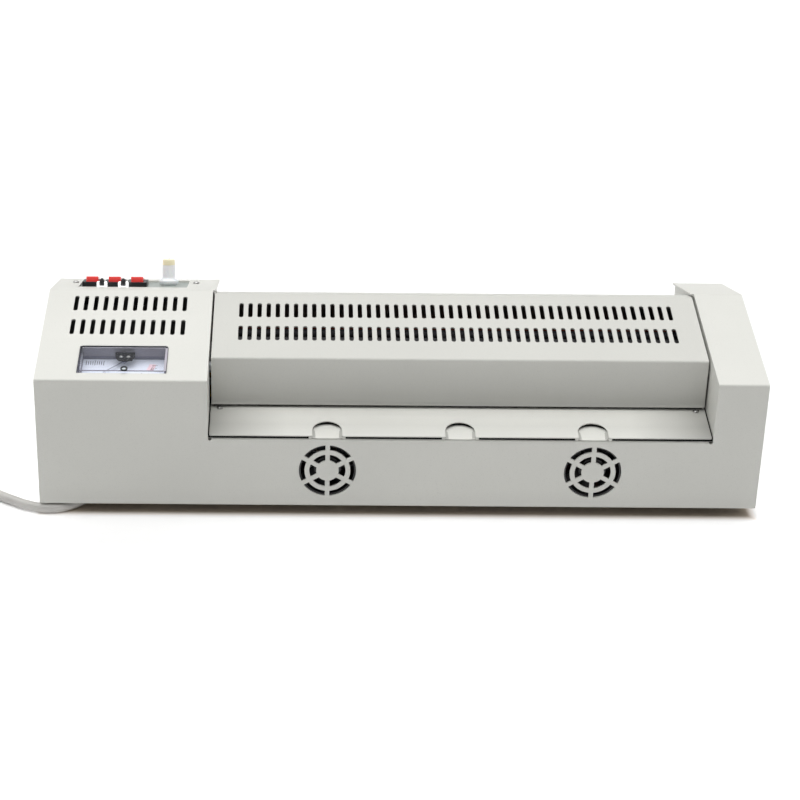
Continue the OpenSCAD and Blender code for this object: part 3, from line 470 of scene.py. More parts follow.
def make_materials():
    """Every material, by name."""
    grey = srgb(214, 214, 208)
    front = Y_FRONT * MM
    tray_left, tray_right = tray_lo.x * MM, tray_hi.x * MM
    end_shade_width = 0.055
    cream = srgb(250, 240, 204)
    made = {
        # Painted shade: the front faces 7% darker, and the paint slightly darker towards the right end.
        "casing_paint": powder_coat("casing_paint", grey, painted_light_and_shade=[
            (1, front + 0.0002, front + 0.0015, 0.93, 1), (0, 0.1, 0.2, 1, 0.98)]),
        # Painted shade: the cover's paint darker towards its lower edge, 0.77 at the bottom and 0.95 above.
        "cover_paint": powder_coat("cover_paint", srgb(205, 205, 199), 0.44, [(2, 0.073, 0.107, 0.77, 0.95)]),
        # Painted shade darkens the tray ends; painted light lightens the front tray towards its back, and the
        # last factor brings the exit tray back to its plain colour.
        "tray_paint": powder_coat("tray_paint", srgb(212, 212, 206), 0.46, [
            (0, tray_left, tray_left + end_shade_width, 0.6, 1), (0, tray_right - end_shade_width, tray_right, 1, 0.58),
            (1, -0.080, -0.060, 0.96, 1.4), (1, -0.046, 0, 1, 0.72)]),
        "control_paint": powder_coat("control_paint", srgb(150, 158, 153), 0.34),
        "zinc_sheet": zinc_sheet(),
        "zinc_screw": bare_metal("zinc_screw", srgb(190, 190, 188), 0.28),
        "steel_shaft": bare_metal("steel_shaft", srgb(188, 189, 192), 0.2, (0.05, 1, 1), 1500),
        "dull_steel": bare_metal("dull_steel", srgb(60, 60, 63), 0.6, (0.05, 1, 1), 1200),
        "motor_steel": bare_metal("motor_steel", srgb(150, 152, 156), 0.34),
        "shoe_aluminium": bare_metal("shoe_aluminium", srgb(112, 112, 114), 0.5, (0.05, 1, 1), 1200),
        "bronze": bare_metal("bronze", srgb(188, 142, 84), 0.36, stain=0.7),
        "pin_brass": bare_metal("pin_brass", srgb(208, 196, 160), 0.24, (1, 0.1, 1)),
        "black_rubber": moulded_plastic("black_rubber", srgb(44, 44, 45), 0.72, 900, 0.00008),
        # Painted shade: near-black for pieces put where gaps show only shade.
        "gap_shade_black": moulded_plastic("gap_shade_black", srgb(16, 16, 16), 0.9, 2200, 0.0002, Specular_IOR_Level=0.1),
        "boss_black": moulded_plastic("boss_black", srgb(12, 12, 14), 0.7, Specular_IOR_Level=0.1),
        # Painted shade: a darker copy of the casing grey for the hollows' sides.
        "recess_shade_paint": powder_coat("recess_shade_paint", srgb(176, 176, 171)),
        "black_plastic": moulded_plastic("black_plastic", srgb(28, 28, 30), 0.36),
        "red_plastic": moulded_plastic("red_plastic", srgb(250, 66, 62), 0.2, 600, 0.00001,
                                       Coat_Weight=0.4, Coat_Roughness=0.08, Subsurface_Weight=0.08),
        "white_plastic": moulded_plastic("white_plastic", srgb(240, 240, 236), 0.3, Subsurface_Weight=0.3),
        # Painted glow: the knob gives off a little light of its own.
        "knob_plastic": moulded_plastic("knob_plastic", srgb(246, 248, 250), 0.3, 900, 0.00002,
                                        Subsurface_Weight=0.08, Coat_Weight=0.2, Emission_Strength=0.08),
        # Painted glow: the holders' white cheeks give off light, though the lamps are off.
        "holder_white_painted_glow": moulded_plastic("holder_white_painted_glow", srgb(252, 252, 250), 0.3, Emission_Strength=0.6),
        # Painted glow: the cap gives off a little cream light of its own.
        "cap_plastic": moulded_plastic("cap_plastic", cream, 0.26, 900, 0.00002, Emission_Color=cream,
                                       Emission_Strength=0.1, Coat_Weight=0.2),
        "dial_card": printed_card(),
        "dial_ink": moulded_plastic("dial_ink", srgb(40, 42, 58), 0.6),
        "dial_red": moulded_plastic("dial_red", srgb(238, 208, 219), 0.6),
        "needle_paint": moulded_plastic("needle_paint", srgb(150, 153, 170), 0.4),
        "case_plastic": moulded_plastic("case_plastic", srgb(136, 134, 146), 0.6, Specular_IOR_Level=0.2),
        # Painted light: a lighter copy of the case plastic for the window's far inner wall.
        "far_wall_light_grey": moulded_plastic("far_wall_light_grey", srgb(160, 158, 166), 0.7, Specular_IOR_Level=0.1),
        # Painted shade: dark grey for the gap round the meter window.
        "gap_shade_grey": moulded_plastic("gap_shade_grey", srgb(66, 66, 72), 0.8, Specular_IOR_Level=0.1),
        # Painted light: a light copy of the case plastic for the window's lit right side.
        "lit_side_grey": moulded_plastic("lit_side_grey", srgb(176, 172, 182), 0.6),
        "gear_nylon": moulded_plastic("gear_nylon", srgb(228, 222, 204), 0.4, Subsurface_Weight=0.2),
        "lead_pvc": moulded_plastic("lead_pvc", srgb(196, 194, 190), 0.38, 700, 0.00005),
        "board_green": circuit_green(),
        "silicone": silicone_rubber(),
        "clear_lens": clear_acrylic(),
    }
    return made


# ---- Outlines and solids ----

def fillet(points, radii, steps=5):
    """The closed outline with its corners rounded; radii is one number or one for each point."""
    corners = [Vector(p) for p in points]
    count = len(corners)
    made = []
    for i, corner in enumerate(corners):
        radius = radii if isinstance(radii, (int, float)) else radii[i]
        back, on = corners[i - 1] - corner, corners[(i + 1) % count] - corner
        reach_max = 0.97 * min(back.length, on.length)
        half = back.angle(on) / 2
        if radius <= 0 or half > math.radians(89):
            made.append(corner)
            continue
        reach = min(radius / math.tan(half), reach_max)
        radius = reach * math.tan(half)
        back.normalize()
        on.normalize()
        centre = corner + (back + on).normalized() * (radius / math.sin(half))
        first, last = corner + back * reach - centre, corner + on * reach - centre
        turn = math.pi - 2 * half
        for k in range(steps + 1):
            part = k / steps
            made.append(centre + (first * math.sin((1 - part) * turn) + last * math.sin(part * turn))
                        / math.sin(turn))
    return made


def offset_line(points, distance):
    """The open line moved to its right by a distance, mitred at its corners."""
    corners = [Vector(p) for p in points]
    sides = [(b - a).normalized() for a, b in zip(corners, corners[1:])]
    normals = [Vector((s.y, -s.x)) for s in sides]
    made = []
    for i, corner in enumerate(corners):
        first, last = normals[max(i - 1, 0)], normals[min(i, len(normals) - 1)]
        middle = (first + last).normalized()
        made.append(corner + middle * (distance / middle.dot(last)))
    return made


def folded_sheet(points, thick, bend, edge=0.0):
    """Outline of a folded sheet whose outer face follows the line; bend is the inner radius."""
    inner = offset_line(points, thick)
    middle = len(points) - 2
    radii = [edge] + [bend + thick] * middle + [edge] + [0] + [bend] * middle + [0]
    return fillet([*points, *reversed(inner)], radii)


def rect(u0, v0, u1, v1):
    """Corners of a rectangle."""
    return [(u0, v0), (u1, v0), (u1, v1), (u0, v1)]


def rounded_box(width, length, radius, steps=5):
    """Outline of a rectangle with round corners, centred on the origin; radius as in fillet."""
    u, v = width / 2, length / 2
    return fillet(rect(-u, -v, u, v), radius, steps)


def arc(radius, first, last, steps):
    """Points on a circle from one angle to another, in degrees."""
    angles = [math.radians(first + (last - first) * k / steps) for k in range(steps + 1)]
    return [Vector((radius * math.cos(a), radius * math.sin(a))) for a in angles]


def stadium(u, v, width, length, steps=8):
    """Outline of a slot with round ends that lies along v."""
    straight = (length - width) / 2
    top = [p + Vector((u, v + straight)) for p in arc(width / 2, 0, 180, steps)]
    low = [p + Vector((u, v - straight)) for p in arc(width / 2, 180, 360, steps)]
    return top + low


def extrude(bm, outline, where, start, end):
    """Closed solid with this outline between two heights of a frame."""
    low = [bm.verts.new(where @ Vector((p[0], p[1], start))) for p in outline]
    high = [bm.verts.new(where @ Vector((p[0], p[1], end))) for p in outline]
    bm.faces.new(low[::-1])
    bm.faces.new(high)
    for i, j in enumerate([*range(1, len(low)), 0]):
        bm.faces.new((low[i], low[j], high[j], high[i]))


def bridge(bm, rings, closed=False):
    """Skin over rings of points; the ends are capped unless the rings close on themselves."""
    loops = [[bm.verts.new(p) for p in ring] for ring in rings]
    count = len(loops[0])
    pairs = list(zip(loops, loops[1:])) + ([(loops[-1], loops[0])] if closed else [])
    for first, last in pairs:
        for i in range(count):
            j = (i + 1) % count
            bm.faces.new((first[i], first[j], last[j], last[i]))
    if not closed:
        bm.faces.new(loops[0][::-1])
        bm.faces.new(loops[-1])


def lathe(bm, profile, where, steps=40, flute=None, closed=False):
    """Solid turned round z from (radius, height) pairs, or a ring when the profile is closed.

    Flute changes a radius by its height and angle.
    """
    rings = []
    for radius, height in profile:
        ring = []
        for k in range(steps):
            angle = 2 * math.pi * k / steps
            r = radius if flute is None else flute(radius, height, angle)
            ring.append(where @ Vector((r * math.cos(angle), r * math.sin(angle), height)))
        rings.append(ring)
    bridge(bm, rings, closed)


def build(name, bm, material=None):
    """Turns a mesh drawn in millimetres into an object in metres, with smooth shading."""
    bmesh.ops.remove_doubles(bm, verts=bm.verts, dist=0.0005)
    bmesh.ops.recalc_face_normals(bm, faces=bm.faces)
    bmesh.ops.scale(bm, vec=(MM, MM, MM), verts=bm.verts)
    mesh = bpy.data.meshes.new(name)
    bm.to_mesh(mesh)
    bm.free()
    mesh.shade_smooth()
    mesh.set_sharp_from_angle(angle=math.radians(SHARP_ABOVE))
    obj = bpy.data.objects.new(name, mesh)
    SCENE.collection.objects.link(obj)
    if material:
        mesh.materials.append(MATERIALS[material])
    return obj


def slab(name, material, outline, where, start, end):
    """A piece made of one extruded outline."""
    bm = bmesh.new()
    extrude(bm, outline, where, start, end)
    return build(name, bm, material)


def spun(name, material, profile, where, steps=40, flute=None, closed=False):
    """A piece made of one turned profile."""
    bm = bmesh.new()
    lathe(bm, profile, where, steps, flute, closed)
    return build(name, bm, material)


def carve(obj, cutter_bm, operation="DIFFERENCE"):
    """Cuts the cutter's solids out of the object, or joins them to it, and applies the result."""
    cutter = build("cutter", cutter_bm)
    modifier = obj.modifiers.new("carve", "BOOLEAN")
    modifier.operation = operation
    modifier.solver = "EXACT"
    modifier.object = cutter
    graph = bpy.context.evaluated_depsgraph_get()
    mesh = bpy.data.meshes.new_from_object(obj.evaluated_get(graph))
    obj.modifiers.clear()
    old = obj.data
    obj.data = mesh
    bpy.data.meshes.remove(old)
    bpy.data.objects.remove(cutter)
    mesh.shade_smooth()
    mesh.set_sharp_from_angle(angle=math.radians(SHARP_ABOVE))


def soften(obj, width, segments=2):
    """Rounds the sharp edges by a width in millimetres."""
    modifier = obj.modifiers.new("soften", "BEVEL")
    modifier.width = width * MM
    modifier.segments = segments
    modifier.limit_method = "ANGLE"
    modifier.angle_limit = math.radians(SOFTEN_ABOVE)
    modifier.harden_normals = True
    return obj


def settle(obj, body="frame", replaces=()):
    """Puts a piece on its body and hides the CAD nodes that it stands for."""
    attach(obj, body)
    if replaces:
        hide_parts(*replaces)
    return obj


# ---- Mains lead ----

# Route of the lead from its strain relief to the coil
LEAD_ROUTE = [
    (-152, 116, 26), (-152, 121, 26), (-156.6, 134, 24), (-169, 145.7, 20), (-186, 150, 15),
    (-203, 145.7, 10), (-215.4, 134, 6), (-220, 118, 4), (-220, 98, 3.5),
    *[(-220, y, 3.5) for y in range(80, -41, -20)], (-220, -61.5, 3.5), (-224, -76.5, 3.5),
    (-235, -87.5, 3.5), (-250, -91.5, 3.5),
    (-265.9, -86.9, 3.5), (-274.5, -81.6, 3.5), (-283, -76, 3.5), (-290.8, -69.5, 3.5),
    (-297, -60.5, 3.5), (-301.5, -50, 3.8), (-306.5, -39.5, 4.1), (-315.5, -26, 4.5),
]
# Route from the coil to the plug
PLUG_ROUTE = [
    (-315.5, -26, 12), (-325, -14.5, 10), (-334, -3.5, 7), (-340, 9, 6), (-343, 22, 8), (-343, 32, 10.4),
    (-343, 38, 11), (-343, 43, 11),
]
COIL_AT = (-349, -54)
COIL_START = 40
COIL_MID_R = 39.75
TIE_ANGLE = 199
TURN_POINTS = 24
# Where the coil's line is after so many turns: turns, radius and height
COIL_STATIONS = [
    (0, 43.5, 4.5), (0.75, 43.5, 4.4), (1, 36, 4.4), (1.75, 36, 4.4), (1.88, 34, 8), (2, 36, 11.6),
    (2.7, 36, 11.6), (2.93, 38.8, 17.6), (3.07, 39.6, 17.6), (3.3, 43.5, 11.6), (4, 43.5, 12),
]


def coil_route():
    """Points on the put-away turns: two beside each other below, two above, and a crossing hump."""
    points = []
    last_turn = COIL_STATIONS[-1][0]
    for k in range(1, last_turn * TURN_POINTS):
        turn = k / TURN_POINTS
        for (t0, r0, z0), (t1, r1, z1) in zip(COIL_STATIONS, COIL_STATIONS[1:]):
            if t0 <= turn < t1:
                ease = (1 - math.cos(math.pi * (turn - t0) / (t1 - t0))) / 2
                radius, height = r0 + (r1 - r0) * ease, z0 + (z1 - z0) * ease
        angle = math.radians(COIL_START + 360 * turn)
        points.append((COIL_AT[0] + radius * math.cos(angle), COIL_AT[1] + radius * math.sin(angle), height))
    return points


def mains_lead():
    """The lead as one curve, from the strain relief through the coil to the plug."""
    route = LEAD_ROUTE + coil_route() + PLUG_ROUTE
    data = bpy.data.curves.new("mains_cord", "CURVE")
    data.dimensions = "3D"
    data.bevel_depth = LEAD_R * MM
    data.bevel_resolution = 5
    data.resolution_u = 6
    data.use_fill_caps = True
    spline = data.splines.new("BEZIER")
    spline.bezier_points.add(len(route) - 1)
    for point, at in zip(spline.bezier_points, route):
        point.co = Vector(at) * MM
        point.handle_left_type = point.handle_right_type = "AUTO"
    data.materials.append(MATERIALS["lead_pvc"])
    obj = bpy.data.objects.new("mains_cord", data)
    SCENE.collection.objects.link(obj)
    return settle(obj, replaces=("mains_lead", "lead_coil", "plug_lead"))


def strain_relief():
    """Moulded grommet with a ribbed, tapered sleeve."""
    low, high = box_mm("strain_relief")
    where = Matrix.Translation(((low.x + high.x) / 2, Y_BACK, (low.z + high.z) / 2)) \
        @ turned(-90, "X")
    end = high.y - Y_BACK
    profile = [(3.6, -SHEET - 3), (7.6, -SHEET - 3), (8, -SHEET - 2.5), (8, -SHEET - 0.2), (5.9, -SHEET - 0.1),
               (5.9, 0.05), (7.9, 0.1), (8, 0.5), (7.6, 2.4), (6.9, 3)]
    ribs = 6
    taper_from, taper_to = 5.6, 4.25
    for k in range(ribs):
        h0 = 3.4 + (end - 5) * k / ribs
        h1 = 3.4 + (end - 5) * (k + 0.55) / ribs
        r = taper_from + (taper_to - taper_from) * k / (ribs - 1)
        profile += [(r, h0), (r, h1 - 0.2), (r - 0.65, h1), (r - 0.65, h1 + 0.9)]
    profile += [(4.3, end - 1), (4.1, end - 0.2), (3.6, end)]
    gland_obj = spun("cord_gland", "black_rubber", profile, where, 36)
    return settle(gland_obj, replaces=("strain_relief",))


def plug():
    """Moulded three-pin plug with grip ribs and a tapered tail."""
    low, high = box_mm("plug")
    where = Matrix.Translation(((low.x + high.x) / 2, low.y, (low.z + high.z) / 2)) \
        @ turned(-90, "X")
    body_from, body_to = 22, high.y - low.y
    stations = [(0, 3.9, 3.9), (1, 4.4, 4.4)]
    for k in range(5):
        at = 2.5 + 3.4 * k
        r = 4.6 + 0.5 * k
        stations += [(at + on, r + out, r + out) for on, out in ((0, 0), (1.7, 0.1), (2, -0.6), (3, -0.5))]
    stations += [(body_from - 1, 8, 7.6), (body_from + 3, 11.2, 9.2), (body_from + 8, 12.7, 10.6),
                 (body_from + 14, 12.2, 10.1), (body_from + 20, 12, 10), (body_from + 26, 12.7, 10.7),
                 (body_to - 3, 13, 11), (body_to - 0.8, 12.9, 10.9), (body_to, 12.2, 10.2)]
    rings = []
    for at, half_w, half_h in stations:
        squareness = 2 + 1.6 * min(1, max(0, (at - body_from) / 8))
        ring = []
        for k in range(40):
            angle = 2 * math.pi * k / 40
            c, s = math.cos(angle), math.sin(angle)
            u = math.copysign(abs(c) ** (2 / squareness), c) * half_w
            v = math.copysign(abs(s) ** (2 / squareness), s) * half_h
            ring.append(where @ Vector((u, v, at)))
        rings.append(ring)
    bm = bmesh.new()
    bridge(bm, rings)
    for side in (-1, 1):
        for k in range(5):
            at = body_from + 11 + 3 * k
            ridge = rounded_box(1.2, 12, 0.5, 3)
            extrude(bm, ridge, shifted(where, side * 11.6, 0, at) @ ALONG_X, 0, 1.1 * side)
    return settle(build("plug_body", bm, "lead_pvc"), replaces=("plug",))


def coil_tie():
    """Hook-and-loop strap round the coil, with its end laid over itself."""
    low, high = box_mm("coil_tie")
    angle = math.radians(TIE_ANGLE)
    along = Vector((-math.sin(angle), math.cos(angle), 0))
    out = Vector((math.cos(angle), math.sin(angle), 0))
    centre = Vector((*COIL_AT, high.z / 2)) + out * COIL_MID_R
    where = Matrix((out, Vector((0, 0, 1)), along)).transposed().to_4x4()
    where.translation = centre
    outer = rounded_box(16, high.z - low.z - 0.1, 4.2)
    inner = rounded_box(14.6, high.z - low.z - 1.5, 3.6)
    bm = bmesh.new()
    rings = []
    for w in (-5, -4.7, 4.7, 5):
        inset = 0.25 if abs(w) == 5 else 0
        rings.append([where @ Vector((p[0] * (1 - inset / 8), p[1] * (1 - inset / 8), w)) for p in outer])
    for w in (5, -5):
        rings.append([where @ Vector((p[0], p[1], w)) for p in inner])
    bridge(bm, rings, closed=True)
    tail = fillet(rect(-6, 0, 6, 0.9), 0.4)
    extrude(bm, tail, shifted(where, 0, high.z / 2 - 0.3), -4.2, 4.2)
    return settle(build("coil_strap", bm, "black_rubber"), replaces=("coil_tie",))


# ---- Casing ----

def housing_line(edge_z):
    """Outer line of a housing from the front edge over the ridge to the back edge."""
    return [(Y_FRONT, edge_z), (Y_FRONT, FRONT_CREASE_Z), (RIDGE_Y, RIDGE_Z), (Y_BACK, REAR_CREASE_Z),
            (Y_BACK, edge_z)]


def housing_plate(bm, x0, x1):
    """End plate or inner wall that stands inside the folded sheet of a housing."""
    line = offset_line(housing_line(FOOT_H + SHEET + 0.1), SHEET + 0.02)
    extrude(bm, fillet(line, [0, BEND, BEND, BEND, 0]), ALONG_X, x0, x1)


def low_panel_profile(side):
    """Outline of the panel below a tray with its flange, from the side."""
    edge = side * Y_BACK
    line = [(edge, FOOT_H), (edge, PANEL_TOP_Z), (edge - side * FLANGE, PANEL_TOP_Z)]
    return folded_sheet(line, -side * SHEET, BEND, edge=1.1)


def grille_sectors(x):
    """Outlines of the curved slots of a fan grille."""
    rings = ((20.25, 16.2), (12.8, 8))
    spoke_half = 1.6
    made = []
    for outer, inner in rings:
        for k in range(6):
            first, last = 30 + 60 * k, 90 + 60 * k
            swing_out = math.degrees(math.asin(spoke_half / outer))
            swing_in = math.degrees(math.asin(spoke_half / inner))
            edge = arc(outer, first + swing_out, last - swing_out, 12)
            edge += arc(inner, last - swing_in, first + swing_in, 10)
            made.append([p + Vector((x, GRILLE_Z)) for p in edge])
    return made


def punch_vents(bm, vents, height_at, slope):
    """Rows of slots through a sloping sheet."""
    rows, first, pitch, count, width, length = vents
    for y in rows:
        where = on_sheet(0, y, height_at(y), slope)
        for k in range(count):
            extrude(bm, stadium(first + pitch * k, 0, width, length), where, -SHEET - 1, 1)


def casing_cutters():
    """Everything that is punched out of the casing."""
    bm = bmesh.new()
    for x in GRILLE_XS:
        for outline in grille_sectors(x):
            extrude(bm, outline, ALONG_Y, Y_FRONT - 1, Y_FRONT + SHEET + 1)
    punch_vents(bm, LEFT_VENTS, housing_z, FRONT_SLOPE)
    control_opening = fillet(rect(*CONTROL_OPENING), 1.5)
    extrude(bm, control_opening, CONTROLS, -SHEET - 1, 1)
    meter_opening = rounded_box(METER_W + 0.6, METER_LEN + 0.6, [0.6, 0.6, 2.4, 2.4])
    extrude(bm, meter_opening, METER, -SHEET - 1, 1)
    for x in (BAY_X0 + RELIEF_HOLE_R, BAY_X1 - RELIEF_HOLE_R):
        for y in (Y_FRONT, Y_BACK):
            hole = [p + Vector((x, PANEL_TOP_Z - 0.5)) for p in arc(RELIEF_HOLE_R, 0, 345, 23)]
            extrude(bm, hole, ALONG_Y, y - 2.2, y + 2.2)
    low, high = box_mm("strain_relief")
    centre = Vector(((low.x + high.x) / 2, (low.z + high.z) / 2))
    extrude(bm, [p + centre for p in arc(6, 0, 348, 29)], ALONG_Y, Y_BACK - SHEET - 1, Y_BACK + 1)
    return bm


def wall_openings():
    """The openings for the rollers in the two inner walls."""
    bm = bmesh.new()
    for x in (BAY_X0 - SHEET, BAY_X1):
        extrude(bm, fillet(rect(*WALL_OPENING), 3), ALONG_X, x - 1, x + SHEET + 1)
    return bm


def casing():
    """Folded casing: two housings joined by the panels below the trays."""
    bm = bmesh.new()
    profile = folded_sheet(housing_line(FOOT_H), SHEET, BEND, edge=1.1)
    extrude(bm, profile, ALONG_X, X_LEFT, BAY_X0)
    extrude(bm, profile, ALONG_X, BAY_X1, X_RIGHT)
    shell = build("casing_shell", bm, "casing_paint")
    bm = bmesh.new()
    for side in (-1, 1):
        extrude(bm, low_panel_profile(side), ALONG_X, BAY_X0 - 1.5, BAY_X1 + 1.5)
    carve(shell, bm, "UNION")
    lip = folded_sheet([(RIDGE_Y + 0.5, housing_z(RIDGE_Y + 0.5)), (Y_BACK, REAR_CREASE_Z)], SHEET, 0)
    bm = bmesh.new()
    extrude(bm, lip, ALONG_X, BAY_X0 - 1.5, BAY_X0 + 2)
    extrude(bm, lip, ALONG_X, BAY_X1 - 2, BAY_X1 + 1.5)
    carve(shell, bm, "UNION")
    carve(shell, casing_cutters())
    settle(soften(shell, 0.18), replaces=("casing",))

    bm = bmesh.new()
    housing_plate(bm, X_LEFT + 0.3, X_LEFT + 0.3 + SHEET)
    housing_plate(bm, X_RIGHT - 0.3 - SHEET, X_RIGHT - 0.3)
    housing_plate(bm, BAY_X0 - SHEET, BAY_X0 - 0.02)
    housing_plate(bm, BAY_X1 + 0.02, BAY_X1 + SHEET)
    plates = build("housing_plates", bm, "casing_paint")
    carve(plates, wall_openings())
    settle(soften(plates, 0.18))

    bm = bmesh.new()
    for side in (-1, 1):
        for x0 in (BAY_X0, BAY_X1 - 15):
            drop = 1 / math.cos(math.radians(TRAY_RISE))
            ledge = [(side * y, tray_z(y) - drop - t) for y, t in rect(58, 0.05, 80, SHEET)]
            extrude(bm, ledge, ALONG_X, x0, x0 + 15)
    settle(soften(build("tray_ledges", bm, "casing_paint"), 0.15))


def top_cover():
    """Vented cover between the housings, with a flared lip along its lower edges."""
    low_z = cover_lo.z + 0.05
    lip_z = low_z + 1.9
    flare = 0.8
    line = [(cover_lo.y - flare, low_z), (cover_lo.y, lip_z), (cover_lo.y, COVER_CREASE_Z),
            (COVER_RIDGE_Y, cover_hi.z), (COVER_BREAK_Y, cover_z(COVER_BREAK_Y)),
            (cover_hi.y, cover_z(cover_hi.y)), (cover_hi.y, lip_z), (cover_hi.y + flare, low_z)]
    bm = bmesh.new()
    extrude(bm, folded_sheet(line, SHEET, BEND), ALONG_X, cover_lo.x, cover_hi.x)
    shell = build("cover_shell", bm, "cover_paint")
    bm = bmesh.new()
    punch_vents(bm, COVER_VENTS, cover_z, COVER_SLOPE)
    carve(shell, bm)
    settle(soften(shell, 0.18), replaces=("top_cover",))
    inner = offset_line(line[1:7], SHEET + 0.02)
    skirt = [(inner[0].x, 90), inner[1], inner[2], inner[3], inner[4], (inner[5].x, 90),
             (46, 90), (44, 100), (20, 106), (-27.75, 106), (-40, 102), (-46, 98), (-46, 90)]
    bm = bmesh.new()
    for x0 in (cover_lo.x, cover_hi.x - SHEET):
        extrude(bm, fillet(skirt, [0, BEND, BEND, BEND, BEND, 0, 0, 4, 4, 4, 4, 2, 0]), ALONG_X, x0, x0 + SHEET)
    settle(soften(build("cover_skirts", bm, "cover_paint"), 0.15))


def tray_outline(side, notches):
    """Plan of a tray: its outer edge, with a thumb notch at each of these places."""
    edge, inner = side * Y_BACK, side * TRAY_INNER_Y
    points, radii = [(tray_lo.x, inner)], [0]
    points.append((tray_lo.x, edge))
    radii.append(1.2)
    for x in notches:
        centre = side * (Y_BACK - NOTCH_D + NOTCH_W / 2)
        points.append((x - NOTCH_W / 2, edge))
        radii.append(1.0)
        turn = [Vector((x + p.x, centre - side * p.y)) for p in arc(NOTCH_W / 2, 180, 0, 24)]
        points += turn
        radii += [0] * len(turn)
        points.append((x + NOTCH_W / 2, edge))
        radii.append(1.0)
    points += [(tray_hi.x, edge), (tray_hi.x, inner)]
    radii += [1.2, 0]
    return fillet(points, radii, 4)


def tray(name, side, notches, node_name):
    """Sloping sheet; its outline is drawn in plan and lifted to the tray's slope."""
    bm = bmesh.new()
    thick = 1 / math.cos(math.radians(TRAY_RISE))
    extrude(bm, tray_outline(side, notches), Matrix.Identity(4), -thick, 0)
    for vert in bm.verts:
        vert.co.z += tray_z(vert.co.y)
    settle(soften(build(name, bm, "tray_paint"), 0.4, 3), replaces=(node_name,))


def seals():
    """Black strips of painted shade in the gaps round the front tray and behind the cover's lower front edge.
    """
    bm = bmesh.new()
    under, land = PANEL_TOP_Z + 0.03, 2.6
    ends = [BAY_X0 + 0.3]
    for x in NOTCHES:
        ends += [x - NOTCH_W / 2 - land, x + NOTCH_W / 2 + land]
    ends.append(BAY_X1 - 0.3)
    near, far = Y_FRONT + 0.9, Y_FRONT + 4
    profile = fillet([(near, under), (far, under), (far, 63.6), (near, 63.3)], 0.3)
    for x0, x1 in zip(ends[::2], ends[1::2]):
        extrude(bm, profile, ALONG_X, x0, x1)
    for x in ((BAY_X0 + tray_lo.x) / 2, (BAY_X1 + tray_hi.x) / 2):
        hang = [(y, tray_z(y) - drop) for y, drop in ((-92, 0.5), (-92, 0.95), (-47, 0.95), (-47, 0.5))]
        extrude(bm, hang, ALONG_X, x - 0.36, x + 0.36)
    y = cover_lo.y + SHEET + 0.15
    low = tray_z(y) + 0.45
    curtain = fillet(rect(y, low, y + 1, low + 8), 0.3)
    extrude(bm, curtain, ALONG_X, cover_lo.x + SHEET + 0.2, cover_hi.x - SHEET - 0.2)
    settle(build("gap_shade_strips", bm, "gap_shade_black"))


def thumb_recesses():
    """Pressed hollows below the thumb notches, with raised sides, and the lands beside them; the darker paint
    on the hollows' sides is painted shade, and so is the black arch behind each notch.
    """
    bm = bmesh.new()
    half = NOTCH_W / 2 + 1.2
    y_near, y_far = Y_FRONT + 0.5, Y_FRONT + NOTCH_D + 1.2
    near_z, far_z, thick = PANEL_TOP_Z + 0.5, 64.2, 0.45
    edge = NOTCH_W / 2 + 1
    land = fillet([(Y_FRONT + 0.4, PANEL_TOP_Z + 0.03), (Y_FRONT + 3, PANEL_TOP_Z + 0.03),
                   (Y_FRONT + 3, 63.4), (Y_FRONT + 0.4, 63.25)], 0.2)
    shade, dark = bmesh.new(), bmesh.new()

    def floor_z(y):
        return near_z + (far_z - near_z) * (y - y_near) / (y_far - y_near)

    for x in NOTCHES:
        rings = []
        for k in range(9):
            y = y_near + (y_far - y_near) * k / 8
            low = floor_z(y)
            room = max(0, tray_z(y) - 1.1 - low)
            across = [-1 + j / 12 for j in range(25)]
            top = [Vector((x + u * half, y, low + room * max(0, (abs(u) - 0.55) / 0.45) ** 2)) for u in across]
            rings.append(top + [p - Vector((0, 0, thick)) for p in reversed(top)])
        bridge(bm, rings)
        # The cheeks at the hollow's sides take the darker paint: painted shade.
        for side in (-1, 1):
            cheek = []
            for y in (y_near + 0.4, y_far - 6):
                low, lip = floor_z(y), tray_z(y) - 1.06
                section = [(edge, lip), (edge, low), (edge - 3.4, low + 0.1), (edge - 2.2, low + 0.5),
                           (edge - 1.1, lip - 0.15)]
                cheek.append([Vector((x + side * u, y, z)) for u, z in section])
            bridge(shade, cheek)
            first, last = sorted((x + side * (NOTCH_W / 2 + 0.3), x + side * (NOTCH_W / 2 + 2.5)))
            extrude(bm, land, ALONG_X, first, last)
        # Painted shade: a black arch under the tray, behind each notch's curve.
        centre = Vector((x, Y_FRONT + NOTCH_D - NOTCH_W / 2))
        arch = [p + centre for p in arc(NOTCH_W / 2 + 0.4, 15, 165, 20) + arc(NOTCH_W / 2 + 1, 165, 15, 20)]
        extrude(dark, arch, Matrix.Identity(4), 64.8, 65.7)
    settle(build("thumb_recesses", bm, "casing_paint"))
    settle(build("recess_side_shade", shade, "recess_shade_paint"))
    settle(build("recess_back_shade", dark, "gap_shade_black"))


# ---- Screws and feet ----

def screw_head(bm, where, radius, height):
    """Domed head with a cross recess whose floor lies below the rim."""
    steps = 48
    rings = []
    cross_half, cross_reach = radius * 0.13, radius * 0.62
    levels = [(1.0, -0.05), (1.0, 0.25), (0.93, 0.55), (0.8, 0.8), (0.62, 0.95), (0.42, 1.0), (0.2, 1.0)]
    for share, level in levels:
        ring = []
        for k in range(steps):
            angle = 2 * math.pi * k / steps
            u, v = radius * share * math.cos(angle), radius * share * math.sin(angle)
            near = min(abs(u), abs(v))
            sunk = near < cross_half and max(abs(u), abs(v)) < cross_reach
            ring.append(where @ Vector((u, v, height * (level - (0.55 if sunk else 0)))))
        rings.append(ring)
    bridge(bm, rings)


